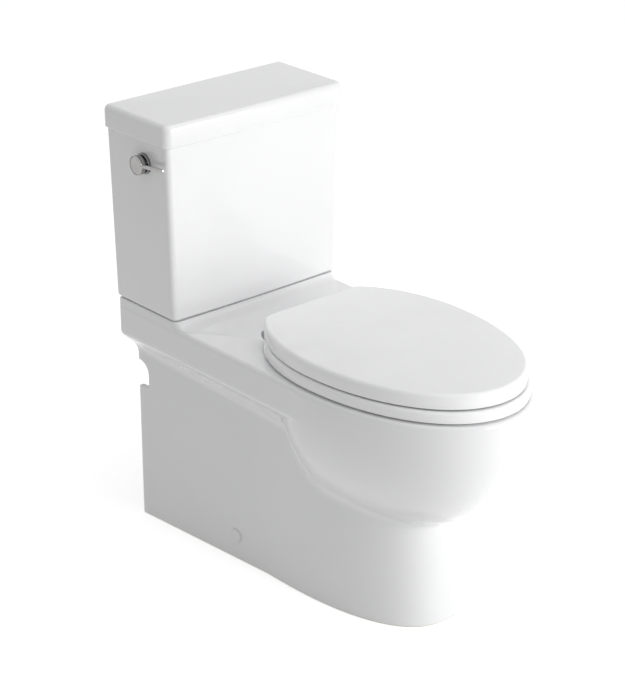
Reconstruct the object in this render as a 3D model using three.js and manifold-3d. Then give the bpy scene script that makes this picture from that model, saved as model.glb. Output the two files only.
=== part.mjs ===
// A two-piece floor-standing toilet whose outlet leaves through the back.
// Millimetres, +Z up. The front faces -Y and +X is on the right of someone who looks at the front.
// The origin is on the floor, on the centre line, under the bowl's cross wall.
import * as THREE from 'three';
import { mergeVertices } from 'three/addons/utils/BufferGeometryUtils.js';
import Module from 'manifold-3d';

const wasm = await Module();
wasm.setup();

// Clearances
const TOUCH_GAP = 0.3;
const RUN_GAP = 0.3;
const OVERRUN = 4;
const SLACK = 2.5;

// Bowl, outside
const DECK_REAR = 150;
const DECK_INSIDE_RIM = 1;
const DECK_DEPTH = 58;
const DECK_EDGE_RADIUS = 8;
const RIM_HEIGHT = 424;
const RIM_CENTRE = 335;
const RIM_HALF_WIDTH = 184;
const RIM_LENGTH = 303;
const BELLY_REAR_LENGTH = 150;
const BELLY_FLOOR_HEIGHT = 186;
const BELLY_WIDEST_BELOW_RIM = 20;
const SKIRT_REAR = 136;
const SKIRT_INSIDE_DECK = 26;
const SKIRT_INSIDE_RIM = 53;
const SKIRT_TURN = 190;
const SKIRT_BEHIND_RIM_TIP = 128;
const SKIRT_CORNER_RADIUS = 5;
const BLEND = 16;
const NOTCH_FLOOR_HEIGHT = 259;
const NOTCH_HEIGHT = 54;
const NOTCH_DEPTH = 28;
const NOTCH_CORNER_RADIUS = 26;

// Bowl, inside
const CHINA_WALL = 12;
const DECK_WALL = 13;
const DECK_POCKET_FRONT = 178;
const BASIN_WALL = 11;
const BASIN_FLOOR_HEIGHT = 132;
const BASIN_INSIDE_RIM = 32;
const BASIN_BEHIND_RIM_TIP = 35;
const BASIN_REAR_LENGTH = 126;
const RIM_LIP_HEIGHT = 28;
const RIM_LIP_WALL = 9;
const RIM_TOP_WALL = 13;
const RIM_BAND_DEPTH = 40;
const OPENING_INSIDE_BASIN = 28;
const OPENING_BEHIND_BASIN_TIP = 24;
const OPENING_REAR_LENGTH = 116;
const DUCT_HALF_WIDTH = 30;
const DUCT_HEIGHT = 18;
const DUCT_WALL = 9;
const WELL_RADIUS = 50;
const INLET_RADIUS = 32;
const TRAP_RADIUS = 29;
const TRAP_WALL = 9;
const TRAP_START_HEIGHT = 162;
const TRAP_START_BEHIND_CENTRE = 25;
const WEIR_HEIGHT = 275;
const WEIR_BEHIND_CENTRE = 163;
const TRAP_FALL_LENGTH = 132;
const OUTLET_HEIGHT = 180;
const OUTLET_RADIUS = 41;
const OUTLET_WALL = 10;
const OUTLET_INSET = 12;
const CROSS_WALL = 14;
const CROSS_WALL_HEIGHT = 140;

// Tank platform on the bowl
const PLATFORM_HEIGHT = 12;
const PLATFORM_RAMP = 24;
const PLATFORM_HAIR = 0.2;
const PLATFORM_EDGE = 2;
const LAND_RADIUS = 17;
const LAND_HEIGHT = 2;

// Tank
const TANK_HEIGHT = 314.6;
const TANK_INSIDE_DECK = 2;
const TANK_FLARE = 8;
const TANK_REAR_INSET = 3;
const TANK_FRONT = 19;
const TANK_FRONT_TAPER = 2;
const TANK_FRONT_RADIUS = 28;
const TANK_REAR_RADIUS = 14;
const TANK_BASE_RADIUS = 9;
const TANK_FRONT_BOW = 3;
const TANK_WALL = 10;
const TANK_FLOOR = 12;

// Tank lid
const LID_OVERHANG = 5;
const LID_HEIGHT = 40;
const LID_EDGE_RADIUS = 10;
const LID_FOOT_RADIUS = 2.5;
const LID_RIM = 26;
const LID_TOP_WALL = 14;
const LID_RIB_DROP = 8;

// Seat
const SEAT_BUMPER_HEIGHT = 3.2;
const RING_HEIGHT = 19.5;
const RING_INSIDE_RIM = 8;
const RING_BEHIND_RIM_TIP = 16;
const RING_REAR_LENGTH = 235;
const RING_OVER_OPENING = 10;
const RING_OVER_OPENING_TIP = 20;
const RING_INNER_REAR_LENGTH = 116;
const SEAT_CENTRE = 345;
const RING_TO_HINGE = 14;
const RING_EDGE = 7;
const RING_DISH = 2;
const RING_FOOT_EDGE = 3.5;
const RING_GROOVE_WALL = 11;
const RING_GROOVE_DEPTH = 9;
const RING_CORNER_BLEND = 30;
const COVER_GAP = 3;
const COVER_INSIDE_RING = 6;
const COVER_BEHIND_RING_TIP = 8;
const COVER_REAR_LENGTH = 222;
const COVER_SIDE = 21;
const COVER_CROWN = 7;
const COVER_EDGE = 8;
const COVER_WALL = 5;
const COVER_BEHIND_HINGE = 3;
const COVER_CORNER_BLEND = 10;
const HINGE_Y = 158;
const HINGE_ABOVE_RIM = 15.5;
const HINGE_BOLT_SPACING = 140;
const HINGE_PIN_RADIUS = 4;
const HINGE_BARREL_RADIUS = 8.5;
const POST_WIDTH = 28;
const POST_DEPTH = 20;
const POST_FOOT_HEIGHT = 8;
const POST_FLANGE_RADIUS = 13;
const POST_FLANGE_HEIGHT = 2.6;
const RING_LUG_WIDTH = 17;
const COVER_LUG_WIDTH = 13;
const COVER_FOOT_EDGE = 1.5;
const PIN_CAP = 3.5;
const SEAT_BOLT_RADIUS = 4;
const SEAT_BOLT_HEAD_RADIUS = 6.8;
const SEAT_BOLT_HEAD = 4;
const SEAT_BOLT_HEAD_ABOVE_RIM = 3.6;
const SEAT_BOLT_LENGTH = 46;
const SEAT_WASHER_RADIUS = 12;
const SEAT_WASHER = 2;
const SEAT_NUT_RADIUS = 10;
const SEAT_NUT = 9;
const BUMPER_RADIUS = 9;
const BUMPER_STEM_RADIUS = 5;
const BUMPER_STEM = 3;
const COVER_BUMPER_RADIUS = 6;
const COVER_BUMPER_STEM_RADIUS = 3;
const COVER_BOSS_RADIUS = 8;

// Trip lever
const LEVER_Y = 48;
const LEVER_BELOW_TANK_TOP = 40;
const ESCUTCHEON_RADIUS = 18.5;
const ESCUTCHEON = 5;
const LEVER_THREAD_RADIUS = 8.6;
const LEVER_THREAD_LENGTH = 24;
const LEVER_SHAFT_RADIUS = 5;
const LEVER_NECK_RADIUS = 9;
const LEVER_NECK = 4;
const KNOB_RADIUS = 17;
const KNOB = 9.5;
const KNOB_EDGE = 1;
const LEVER_ROD_RADIUS = 3.5;
const LEVER_ROD_LENGTH = 72;
const LEVER_ROD_LIFT_DEG = 6;
const LEVER_NUT_RADIUS = 15;
const LEVER_NUT = 8;
const LEVER_HUB_RADIUS = 9;
const LEVER_HUB = 9;
const LEVER_ARM_RADIUS = 2.5;
const LEVER_ARM_REACH = 36;
const LEVER_ARM_TIP = 8;

// Flush valve and flapper
const FLUSH_X = 0;
const FLUSH_Y = 80;
const VALVE_BORE_RADIUS = 25;
const VALVE_SHANK_RADIUS = 29;
const VALVE_FLANGE_RADIUS = 42;
const VALVE_FLANGE = 4.5;
const VALVE_SEAT_RADIUS = 35;
const VALVE_SEAT_HEIGHT = 11;
const VALVE_SHANK_BELOW_TANK = 24;
const SEAL_THICKNESS = 3;
const VALVE_NUT_RADIUS = 38;
const VALVE_NUT = 7.6;
const GASKET_RADIUS = 48;
const OVERFLOW_OFFSET = 54;
const OVERFLOW_RADIUS = 14.5;
const OVERFLOW_WALL = 2.5;
const OVERFLOW_BELOW_TANK_TOP = 62;
const PIVOT_OFFSET = 40;
const PIVOT_ABOVE_SEAT = 5.5;
const PIVOT_PIN_RADIUS = 2.4;
const PIVOT_HALF_SPAN = 21;
const PIVOT_EAR_HALF_WIDTH = 12;
const FLAPPER_RADIUS = 33;
const FLAPPER_SHEET = 3.5;
const FLAPPER_DOME_RADIUS = 21;
const FLAPPER_DOME = 6;
const FLAPPER_HOOK_ABOVE_PIVOT = 10;
const FLAPPER_HOOK_RADIUS = 1.3;
const FLAPPER_HOOK_LENGTH = 13;
const FLAPPER_HOOK_POST = 3;
const FLAPPER_ARM_INNER = 13;
const FLAPPER_ARM_START = 16;
const FLAPPER_ARM_DEPTH = 9;
const FLAPPER_ARM_WIDTH = 6;
const STRAP_OFFSET = 4;
const STRAP_WIDTH = 8;
const STRAP_EYE_WALL = 1.9;
const STRAP_EYE_SLACK = 1.9;
const STRAP_THICKNESS = 1.6;
const STRAP_HOLE_RADIUS = 1.6;
const STRAP_HOLE_PITCH = 16;
const STRAP_HOLES = 8;

// Fill valve
const FILL_FROM_TANK_SIDE = 45;
const FILL_Y = 98;
const FILL_SHANK_RADIUS = 11.5;
const FILL_BORE_RADIUS = 5;
const FILL_SHANK_BELOW_TANK = 46;
const FILL_FLANGE_RADIUS = 19;
const FILL_FLANGE = 4;
const FILL_BASE_RADIUS = 15;
const FILL_BASE = 26;
const FILL_RISER_RADIUS = 11;
const FILL_RISER_BELOW_TANK_TOP = 78;
const FILL_HOLE_RADIUS = 20;
const FILL_NUT_RADIUS = 17;
const FILL_NUT = 9;
const FILL_CAP_RADIUS = 17;
const FILL_CAP = 20;
const FILL_CAP_SOCKET = 8;
const NIPPLE_RADIUS = 1.5;
const NIPPLE_LENGTH = 4;
const NIPPLE_BELOW_CAP_TOP = 8;
const FLOAT_RADIUS = 28;
const FLOAT_HEIGHT = 62;
const FLOAT_TRAVEL = 24;
const FLOAT_WALL = 2;
const FLOAT_BELOW_CAP = 5;
const FLOAT_BOSS = 8;
const FLOAT_BOSS_RADIUS = 4;
const FLOAT_ROD_SOCKET = 7;
const FLOAT_ARM_PIVOT_INSET = 6;
const FLOAT_ARM_WIDTH = 7;
const FLOAT_ARM_THICKNESS = 4;
const FLOAT_ARM_ABOVE_CAP = 14;
const FLOAT_ARM_TAIL = 5;
const FLOAT_ARM_TIP = 4;
const FLOAT_EAR = 3;
const FLOAT_EAR_DEPTH = 10;
const FLOAT_EAR_CREST = 4;
const FLOAT_TRUNNION_RADIUS = 2;
const FLOAT_SLOT_LENGTH = 9;
const FLOAT_ROD_ABOVE_ARM = 8;
const FLOAT_ROD_COLLAR_RADIUS = 3.2;
const FLOAT_ROD_COLLAR = 2;
const FLOAT_ROD_COLLAR_OFF_ARM = 4.2;
const FLOAT_ROD_OFFSET = 23.5;
const FLOAT_ROD_RADIUS = 1.6;
const REFILL_RADIUS = 3.5;
const REFILL_BORE_RADIUS = 2.3;
const REFILL_ARCH = 34;
const REFILL_BOW = 12;
const REFILL_NOZZLE_OFFSET = 6;
const CLIP_WIDTH = 12;
const CLIP_LEG = 3;
const CLIP_DEPTH = 10;
const CLIP_ABOVE_OVERFLOW = 8;
const CLIP_SOCKET = 7;

// Tank bolts
const TANK_BOLT_RADIUS = 4;
const TANK_BOLT_HOLE_RADIUS = 6;
const TANK_BOLT_HEAD_RADIUS = 8;
const TANK_BOLT_HEAD = 4;
const TANK_BOLT_SEAL_RADIUS = 12;
const TANK_BOLT_SEAL = 5;
const TANK_WASHER_RADIUS = 12;
const TANK_WASHER = 1.8;
const TANK_NUT_RADIUS = 8.5;
const TANK_NUT = 8;
const TANK_NUT_WING = 15;
const BOLT_END = 9;

// Floor fixings
const FIXING_Y = 111;
const FIXING_HEIGHT = 45;
const CAP_RADIUS = 14;
const CAP = 4.6;
const CAP_WALL = 1.6;
const SIDE_SCREW_RADIUS = 3;
const SIDE_SCREW_HEAD_RADIUS = 6;
const SIDE_SCREW_HEAD = 2.4;
const BRACKET_WIDTH = 36;
const BRACKET_HEIGHT = 64;
const BRACKET_FOOT = 46;
const BRACKET_PLATE = 8;
const FLOOR_SCREW_RADIUS = 3.5;
const FLOOR_SCREW_HEAD_RADIUS = 7;
const FLOOR_SCREW_HEAD = 3.6;

// Shares: plain ratios of the sizes above, read along each form
const NOSE_LEAN_SHARE = 0.08;
const SIDE_LEAN_SHARE = 0.03;
const UNDERCUT_SHARE = 1;
const BELLY_WIDTH_SHARES = { loss: 0.5, power: 2.1 };
const BELLY_LENGTH_SHARES = { loss: 0.37, power: 1.92, footLoss: 0.1, footPower: 12 };
const SMALLEST_SHARE = 0.15;
const SIDE_STATION_SHARES = [0, 0.17, 0.34, 0.5, 0.64, 0.76, 0.86, 0.94];
const OUTER_HEIGHT_SHARES = [
  0, 0.2, 0.41, 0.445, 0.475, 0.51, 0.56, 0.62, 0.7, 0.765, 0.8, 0.82, 0.842, 0.863,
];
const HOLLOW_HEIGHT_SHARES = [0, 0.25, 0.5, 0.58, 0.66, 0.76, 0.88, 1];
const ROUND_SHARES = [0, 0.5, 0.87, 1];
// Height above the basin's floor, then half width, length to the front and length to the rear
const BASIN_SHARES = [
  [0, 0.14, 0.1, 0.16],
  [0.04, 0.25, 0.17, 0.28],
  [0.15, 0.36, 0.27, 0.36],
  [0.3, 0.5, 0.42, 0.44],
  [0.45, 0.66, 0.6, 0.56],
  [0.62, 0.82, 0.79, 0.74],
  [0.8, 0.94, 0.93, 0.9],
  [1, 1, 1, 1],
];
// Way back, then way up, from the trap's mouth to the weir and from the weir down to the outlet
const TRAP_RISE_SHARES = [[0, 0], [0.25, 0.04], [0.48, 0.22], [0.68, 0.55], [0.84, 0.87], [1, 1]];
const TRAP_FALL_SHARES = [[0.2, 0.07], [0.38, 0.3], [0.55, 0.65], [0.75, 0.92], [1, 1]];
// Height of the platform's ramp, then how far it stands out in front of the tank
const RAMP_SHARES = [[0, 1], [0.22, 0.5], [0.5, 0.18], [0.82, 0.02]];
const SEAT_OUTLINE_POWER_SHARE = 2.05;
const NOSE_POWER_SHARE = 2.5;
const RING_BUMPER_SHARES = [0.14, 0.36, 0.64, 0.86];
const COVER_BUMPER_SHARES = [0.08, 0.3, 0.7, 0.92];
const CROWN_SHARES = [0.8, 0.55, 0.3];
const BOW_SHARES = [-0.5, 0, 0.5];
const PIN_CAP_EDGE_SHARE = 0.3;
const HUB_DEPTH_SHARE = 0.8;
const HUB_LENGTH_SHARE = 1.2;
const DOME_SHARES = [[0.85, 0.6], [0.5, 1]];
const BRACKET_CLEAR_SHARE = 0.1;
const BUMPER_SINK_SHARE = 0.1;
const CLOSE_SHARE = 0.001;
const TANK_BOLT_SHARE = 0.61;
// Way along, then way out from the tank's wall, along the lever's arm
const LEVER_ARM_SHARES = [[0.12, 0.04], [0.8, 0.92]];
// Way across, then way back, then way up, along the refill tube's arch
const REFILL_SHARES = [[0.25, 0.5, 0.7], [0.55, 1, 1], [0.85, 0.4, 0.85]];

// Counts of facets
const NOSE_STEPS = 18;
const INNER_NOSE_STEPS = 10;
const BASIN_STEPS = 18;
const SEAT_STEPS = 44;
const ARM_STEPS = 8;
const REFILL_STEPS = 12;
const PIPE_SIDES = 8;
const ROUND_STEPS = 4;
const FINE_SIDES = 14;
const SIDES = 10;
const SMALL_SIDES = 8;
const NUT_SIDES = 6;

// Widths and lengths that follow from the rim
const deckHalfWidth = RIM_HALF_WIDTH - DECK_INSIDE_RIM;
const skirtRearHalfWidth = deckHalfWidth - SKIRT_INSIDE_DECK;
const skirtFrontHalfWidth = RIM_HALF_WIDTH - SKIRT_INSIDE_RIM;
const skirtNose = RIM_CENTRE + RIM_LENGTH - SKIRT_TURN - SKIRT_BEHIND_RIM_TIP;
const basinHalfWidth = RIM_HALF_WIDTH - BASIN_INSIDE_RIM;
const basinLength = RIM_LENGTH - BASIN_BEHIND_RIM_TIP;
const openingHalfWidth = basinHalfWidth - OPENING_INSIDE_BASIN;
const openingLength = basinLength - OPENING_BEHIND_BASIN_TIP;
const ringHalfWidth = RIM_HALF_WIDTH - RING_INSIDE_RIM;
const ringLength = RIM_LENGTH - RING_BEHIND_RIM_TIP;
const ringInnerHalfWidth = openingHalfWidth - RING_OVER_OPENING;
const ringInnerLength = openingLength - RING_OVER_OPENING_TIP;
const coverHalfWidth = ringHalfWidth - COVER_INSIDE_RING;
const coverLength = ringLength - COVER_BEHIND_RING_TIP;
const tankBaseHalfWidth = deckHalfWidth - TANK_INSIDE_DECK;
const tankTopHalfWidth = tankBaseHalfWidth + TANK_FLARE;
const fillX = -tankBaseHalfWidth + FILL_FROM_TANK_SIDE;
const tankBoltX = -fillX * TANK_BOLT_SHARE;

// Heights and places that follow from the sizes
const deckBottom = RIM_HEIGHT - DECK_DEPTH;
const bellyWidest = RIM_HEIGHT - BELLY_WIDEST_BELOW_RIM;
const rimBandBottom = RIM_HEIGHT - RIM_BAND_DEPTH;
const basinTop = RIM_HEIGHT - RIM_LIP_HEIGHT;
const deckUnderside = RIM_HEIGHT - DECK_WALL;
const platformTop = RIM_HEIGHT + PLATFORM_HEIGHT;
const tankBase = platformTop + LAND_HEIGHT + TOUCH_GAP;
const tankTop = tankBase + TANK_HEIGHT;
const tankFloorTop = tankBase + TANK_FLOOR;
const tankRear = DECK_REAR - TANK_REAR_INSET;
const lidBase = tankTop + TOUCH_GAP;
const ringBase = RIM_HEIGHT + SEAT_BUMPER_HEIGHT;
const ringTop = ringBase + RING_HEIGHT;
const coverBase = ringTop + COVER_GAP;
const coverTop = coverBase + COVER_SIDE;
const hingeZ = RIM_HEIGHT + HINGE_ABOVE_RIM;
const leverZ = tankTop - LEVER_BELOW_TANK_TOP;
const outletEnd = SKIRT_REAR - OUTLET_INSET;
const wellFloor = RIM_HEIGHT - PLATFORM_HEIGHT;
const ductFloor = deckUnderside - DUCT_HEIGHT - TOUCH_GAP;
const wallLean = Math.atan2(tankTopHalfWidth - tankBaseHalfWidth, TANK_HEIGHT);
const leverWall = tankTopHalfWidth - LEVER_BELOW_TANK_TOP * Math.tan(wallLean);

// Solids: closing, joining and cutting

// Closed geometry with outward faces from any closed set of triangles
function closed(geometry) {
  const bare = geometry.clone();
  bare.deleteAttribute('normal');
  bare.deleteAttribute('uv');
  const merged = mergeVertices(bare, TOUCH_GAP * CLOSE_SHARE / 3);
  const all = Array.from(merged.index.array);
  const index = [];
  for (let i = 0; i < all.length; i += 3) {
    const corners = all.slice(i, i + 3);
    if (new Set(corners).size === 3) index.push(...corners);
  }
  const at = merged.attributes.position;
  const a = new THREE.Vector3();
  const b = new THREE.Vector3();
  const c = new THREE.Vector3();
  let volume = 0;
  for (let i = 0; i < index.length; i += 3) {
    a.fromBufferAttribute(at, index[i]);
    b.fromBufferAttribute(at, index[i + 1]);
    c.fromBufferAttribute(at, index[i + 2]);
    volume += a.dot(b.cross(c));
  }
  if (volume < 0) {
    for (let i = 0; i < index.length; i += 3) {
      [index[i], index[i + 1]] = [index[i + 1], index[i]];
    }
  }
  merged.setIndex(index);
  return merged;
}

function toSolid(geometry) {
  const mesh = closed(geometry);
  return new wasm.Manifold(new wasm.Mesh({
    numProp: 3,
    vertProperties: new Float32Array(mesh.attributes.position.array),
    triVerts: new Uint32Array(mesh.index.array),
  }));
}

function toGeometry(solid) {
  const mesh = solid.getMesh();
  const geometry = new THREE.BufferGeometry();
  geometry.setAttribute('position', new THREE.BufferAttribute(new Float32Array(mesh.vertProperties), 3));
  geometry.setIndex(new THREE.BufferAttribute(new Uint32Array(mesh.triVerts), 1));
  return geometry;
}

function solidOf(form) {
  return form.isBufferGeometry ? toSolid(form) : form;
}

function join(base, ...others) {
  return others.reduce((sum, each) => sum.add(toSolid(each)), solidOf(base));
}

function cut(base, ...others) {
  return others.reduce((sum, each) => sum.subtract(toSolid(each)), solidOf(base));
}

// Plain forms
function box(x0, x1, y0, y1, z0, z1) {
  const geometry = new THREE.BoxGeometry(x1 - x0, y1 - y0, z1 - z0);
  return geometry.translate((x0 + x1) / 2, (y0 + y1) / 2, (z0 + z1) / 2);
}

// A profile of [radius, height] turned about Z; it closes on itself where it leaves the axis
function turned(profile, sides = SIDES) {
  const points = profile.map(([r, h]) => new THREE.Vector2(r, h));
  if (profile[0][0] > 0 || profile.at(-1)[0] > 0) points.push(points[0].clone());
  return new THREE.LatheGeometry(points, sides).rotateX(Math.PI / 2);
}

function disc(radius, z0, z1, sides = SIDES) {
  return turned([[0, z0], [radius, z0], [radius, z1], [0, z1]], sides);
}

function tubeRing(inner, outer, z0, z1, sides = SIDES) {
  return turned([[inner, z0], [outer, z0], [outer, z1], [inner, z1]], sides);
}

// A six-sided nut with a round hole
function hexNut(inner, outer, z0, z1) {
  const bore = disc(inner, z0 - OVERRUN, z1 + OVERRUN, FINE_SIDES);
  return toGeometry(cut(disc(outer, z0, z1, NUT_SIDES), bore));
}

function alongX(geometry) {
  return geometry.rotateY(Math.PI / 2);
}

function alongY(geometry) {
  return geometry.rotateX(-Math.PI / 2);
}

// An outline of [across, up] points pulled out along X from x0 to x1
function pulledAlongX(outline, x0, x1) {
  const shape = new THREE.Shape(outline.map(([y, z]) => new THREE.Vector2(y, z)));
  const geometry = new THREE.ExtrudeGeometry(shape, { depth: x1 - x0, bevelEnabled: false });
  return geometry.rotateX(Math.PI / 2).rotateZ(Math.PI / 2).translate(x0, 0, 0);
}

// A body between matching outlines: each outline is a list of [x, y, z]
function loft(outlines) {
  const count = outlines[0].length;
  const last = (outlines.length - 1) * count;
  const middle = (outline) => [0, 1, 2].map((k) => outline.reduce((sum, p) => sum + p[k], 0) / count);
  const positions = [...outlines.flat(2), ...middle(outlines[0]), ...middle(outlines.at(-1))];
  const firstMiddle = outlines.length * count;
  const index = [];
  for (let i = 0; i < count; i += 1) {
    const next = (i + 1) % count;
    for (let row = 0; row < last; row += count) {
      index.push(row + i, row + next, row + next + count, row + i, row + next + count, row + i + count);
    }
    index.push(firstMiddle, next, i, firstMiddle + 1, last + i, last + next);
  }
  const geometry = new THREE.BufferGeometry();
  geometry.setAttribute('position', new THREE.Float32BufferAttribute(positions, 3));
  geometry.setIndex(index);
  return geometry;
}

// A closed band of matching loops, such as a ring's cross-sections taken round it
function looped(loops) {
  const count = loops[0].length;
  const index = [];
  loops.forEach((_, row) => {
    const after = (row + 1) % loops.length;
    for (let i = 0; i < count; i += 1) {
      const next = (i + 1) % count;
      index.push(row * count + i, row * count + next, after * count + next);
      index.push(row * count + i, after * count + next, after * count + i);
    }
  });
  const geometry = new THREE.BufferGeometry();
  geometry.setAttribute('position', new THREE.Float32BufferAttribute(loops.flat(2), 3));
  geometry.setIndex(index);
  return geometry;
}

// A round pipe along points in the plane x = 0, each stop given as { y, z, radius }
function pipe(stops, sides = PIPE_SIDES) {
  const rings = stops.map(({ y, z, radius }, i) => {
    const before = stops[Math.max(i - 1, 0)];
    const after = stops[Math.min(i + 1, stops.length - 1)];
    const run = Math.hypot(after.y - before.y, after.z - before.z);
    const up = [-(after.z - before.z) / run, (after.y - before.y) / run];
    return Array.from({ length: sides }, (_, k) => {
      const turn = (2 * Math.PI * (k + 0.5)) / sides;
      const rise = radius * Math.sin(turn);
      return [radius * Math.cos(turn), y + up[0] * rise, z + up[1] * rise];
    });
  });
  const index = [];
  for (let row = 0; row + 1 < rings.length; row += 1) {
    for (let k = 0; k < sides; k += 1) {
      const next = (k + 1) % sides;
      index.push(row * sides + k, row * sides + next, (row + 1) * sides + next);
      index.push(row * sides + k, (row + 1) * sides + next, (row + 1) * sides + k);
    }
  }
  const last = (rings.length - 1) * sides;
  for (let k = 1; k + 1 < sides; k += 1) {
    index.push(0, k + 1, k);
    index.push(last, last + k, last + k + 1);
  }
  const geometry = new THREE.BufferGeometry();
  geometry.setAttribute('position', new THREE.Float32BufferAttribute(rings.flat(2), 3));
  geometry.setIndex(index);
  return geometry;
}

// A round rod or tube along a curve through the given points
function rod(points, radius, steps, sides = SMALL_SIDES) {
  const curve = points.length > 2
    ? new THREE.CatmullRomCurve3(points.map((p) => new THREE.Vector3(...p)))
    : new THREE.LineCurve3(new THREE.Vector3(...points[0]), new THREE.Vector3(...points[1]));
  const section = new THREE.Shape().absarc(0, 0, radius, 0, 2 * Math.PI);
  return new THREE.ExtrudeGeometry(section, {
    steps,
    curveSegments: sides / 2,
    extrudePath: curve,
    bevelEnabled: false,
  });
}

// Plan outlines. A field is negative inside its form and reads in millimetres near the edge.
function ovalField(dx, dy, halfWidth, length, power) {
  const share = ((Math.abs(dx) / halfWidth) ** power + (Math.abs(dy) / length) ** power) ** (1 / power);
  return share > 0 ? Math.hypot(dx, dy) * (1 - 1 / share) : -Math.min(halfWidth, length);
}

function blendMin(a, b, radius) {
  const near = Math.max(radius - Math.abs(a - b), 0) / radius;
  return Math.min(a, b) - (near * near * radius) / 4;
}

function blendMax(a, b, radius) {
  return -blendMin(-a, -b, radius);
}

function skirtField(x, y, z) {
  const nose = skirtNose - z * NOSE_LEAN_SHARE;
  const half = skirtFrontHalfWidth - z * SIDE_LEAN_SHARE;
  if (y < -SKIRT_TURN) return ovalField(x, y + SKIRT_TURN, half, nose, NOSE_POWER_SHARE);
  const back = (y + SKIRT_TURN) / (SKIRT_REAR + SKIRT_TURN);
  return Math.abs(x) - (half + (skirtRearHalfWidth - half) * back);
}

function bellyField(x, y, z) {
  const drop = Math.max(bellyWidest - z, 0) / (bellyWidest - BELLY_FLOOR_HEIGHT);
  const width = 1 - BELLY_WIDTH_SHARES.loss * drop ** BELLY_WIDTH_SHARES.power;
  const { loss, power, footLoss, footPower } = BELLY_LENGTH_SHARES;
  const length = 1 - loss * drop ** power - footLoss * drop ** footPower;
  const reach = y < -RIM_CENTRE
    ? RIM_LENGTH * Math.max(length, SMALLEST_SHARE)
    : BELLY_REAR_LENGTH * Math.max(width, SMALLEST_SHARE);
  const half = RIM_HALF_WIDTH * Math.max(width, SMALLEST_SHARE);
  return ovalField(x, y + RIM_CENTRE, half, reach, SEAT_OUTLINE_POWER_SHARE);
}

function deckField(x, y, z) {
  const half = deckHalfWidth - Math.max(deckBottom - z, 0) * UNDERCUT_SHARE;
  return Math.max(Math.abs(x) - half, -RIM_CENTRE - y);
}

function bowlField(x, y, z) {
  const upper = Math.min(bellyField(x, y, z), deckField(x, y, z));
  return blendMin(upper, skirtField(x, y, z), BLEND);
}

// Distance from a point, along a direction, to where the field reaches the given value
function castTo(field, x, y, dx, dy, value, far) {
  let near = 0;
  let end = far;
  while (end - near > TOUCH_GAP * CLOSE_SHARE) {
    const middle = (near + end) / 2;
    if (field(x + dx * middle, y + dy * middle) < value) near = middle;
    else end = middle;
  }
  return near;
}

// One level outline of the bowl, set in by a distance: right side, nose, left side
function bowlOutline(height, inset, rear, cornerRadius, noseSteps) {
  const z = Math.max(height, 0);
  const far = RIM_CENTRE + RIM_LENGTH;
  const field = (x, y) => bowlField(x, y, z);
  const right = [];
  const straight = rear - cornerRadius + RIM_CENTRE;
  SIDE_STATION_SHARES.forEach((share) => {
    const y = rear - cornerRadius - share * straight;
    right.push([castTo(field, 0, y, 1, 0, -inset, far), y]);
  });
  if (cornerRadius > 0) {
    const side = right[0][0];
    right.unshift(
      [side - cornerRadius, rear],
      [side - cornerRadius * (1 - Math.SQRT1_2), rear - cornerRadius * (1 - Math.SQRT1_2)],
    );
  }
  const nose = [];
  for (let i = 0; i <= noseSteps / 2; i += 1) {
    const turn = (Math.PI * i) / noseSteps;
    const reach = castTo(field, 0, -RIM_CENTRE, Math.cos(turn), -Math.sin(turn), -inset, far);
    nose.push([reach * Math.cos(turn), -RIM_CENTRE - reach * Math.sin(turn)]);
  }
  nose.at(-1)[0] = 0;
  const half = [...right, ...nose];
  const left = half.slice(0, -1).reverse().map(([x, y]) => [-x, y]);
  return [...half, ...left].map(([x, y]) => [x, y, height]);
}

function bowlShell() {
  const deckStart = deckBottom - (deckHalfWidth - skirtRearHalfWidth) / 2;
  const rearAt = (z) => (z > deckStart ? DECK_REAR : SKIRT_REAR);
  const level = (z, inset) => bowlOutline(z, inset, rearAt(z), SKIRT_CORNER_RADIUS, NOSE_STEPS);
  const heights = OUTER_HEIGHT_SHARES.map((share) => share * RIM_HEIGHT);
  const rows = heights.map((z) => level(z, 0));
  const edgeStart = RIM_HEIGHT - DECK_EDGE_RADIUS;
  rows.push(level(bellyWidest - DECK_EDGE_RADIUS * 2, 0));
  ROUND_SHARES.forEach((share) => {
    const rise = DECK_EDGE_RADIUS * share;
    rows.push(level(edgeStart + rise, DECK_EDGE_RADIUS - Math.sqrt(DECK_EDGE_RADIUS ** 2 - rise ** 2)));
  });
  return loft(rows);
}

// The space inside the skirt, open at the floor and at the rear
function skirtHollow() {
  const level = (z) => bowlOutline(z, CHINA_WALL, SKIRT_REAR + OVERRUN, 0, INNER_NOSE_STEPS);
  const rows = HOLLOW_HEIGHT_SHARES.map((share) => level(-OVERRUN + share * (rimBandBottom + OVERRUN)));
  return loft(rows);
}

// The shallow pocket under the deck, where the bolts' nuts are reached
function deckPocket() {
  const half = deckHalfWidth - DECK_WALL;
  const rear = DECK_REAR - DECK_WALL;
  return box(-half, half, -DECK_POCKET_FRONT, rear, rimBandBottom - OVERRUN, deckUnderside);
}

function oval(halfWidth, length, rearLength, z, steps = BASIN_STEPS) {
  return Array.from({ length: steps }, (_, i) => {
    const turn = (2 * Math.PI * i) / steps;
    const reach = Math.sin(turn) > 0 ? rearLength : length;
    return [halfWidth * Math.cos(turn), -RIM_CENTRE + reach * Math.sin(turn), z];
  });
}

function basin(wall) {
  const depth = basinTop - BASIN_FLOOR_HEIGHT;
  const rows = BASIN_SHARES.map(([up, width, length, rear]) => oval(
    basinHalfWidth * width + wall,
    basinLength * length + wall,
    BASIN_REAR_LENGTH * rear + wall,
    BASIN_FLOOR_HEIGHT - wall + up * (depth + wall),
  ));
  return loft(rows);
}

function ovalBand(margin, z0, z1) {
  const at = (z) => oval(
    openingHalfWidth + margin,
    openingLength + margin,
    OPENING_REAR_LENGTH + margin,
    z,
  );
  return loft([at(z0), at(z1)]);
}

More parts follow.
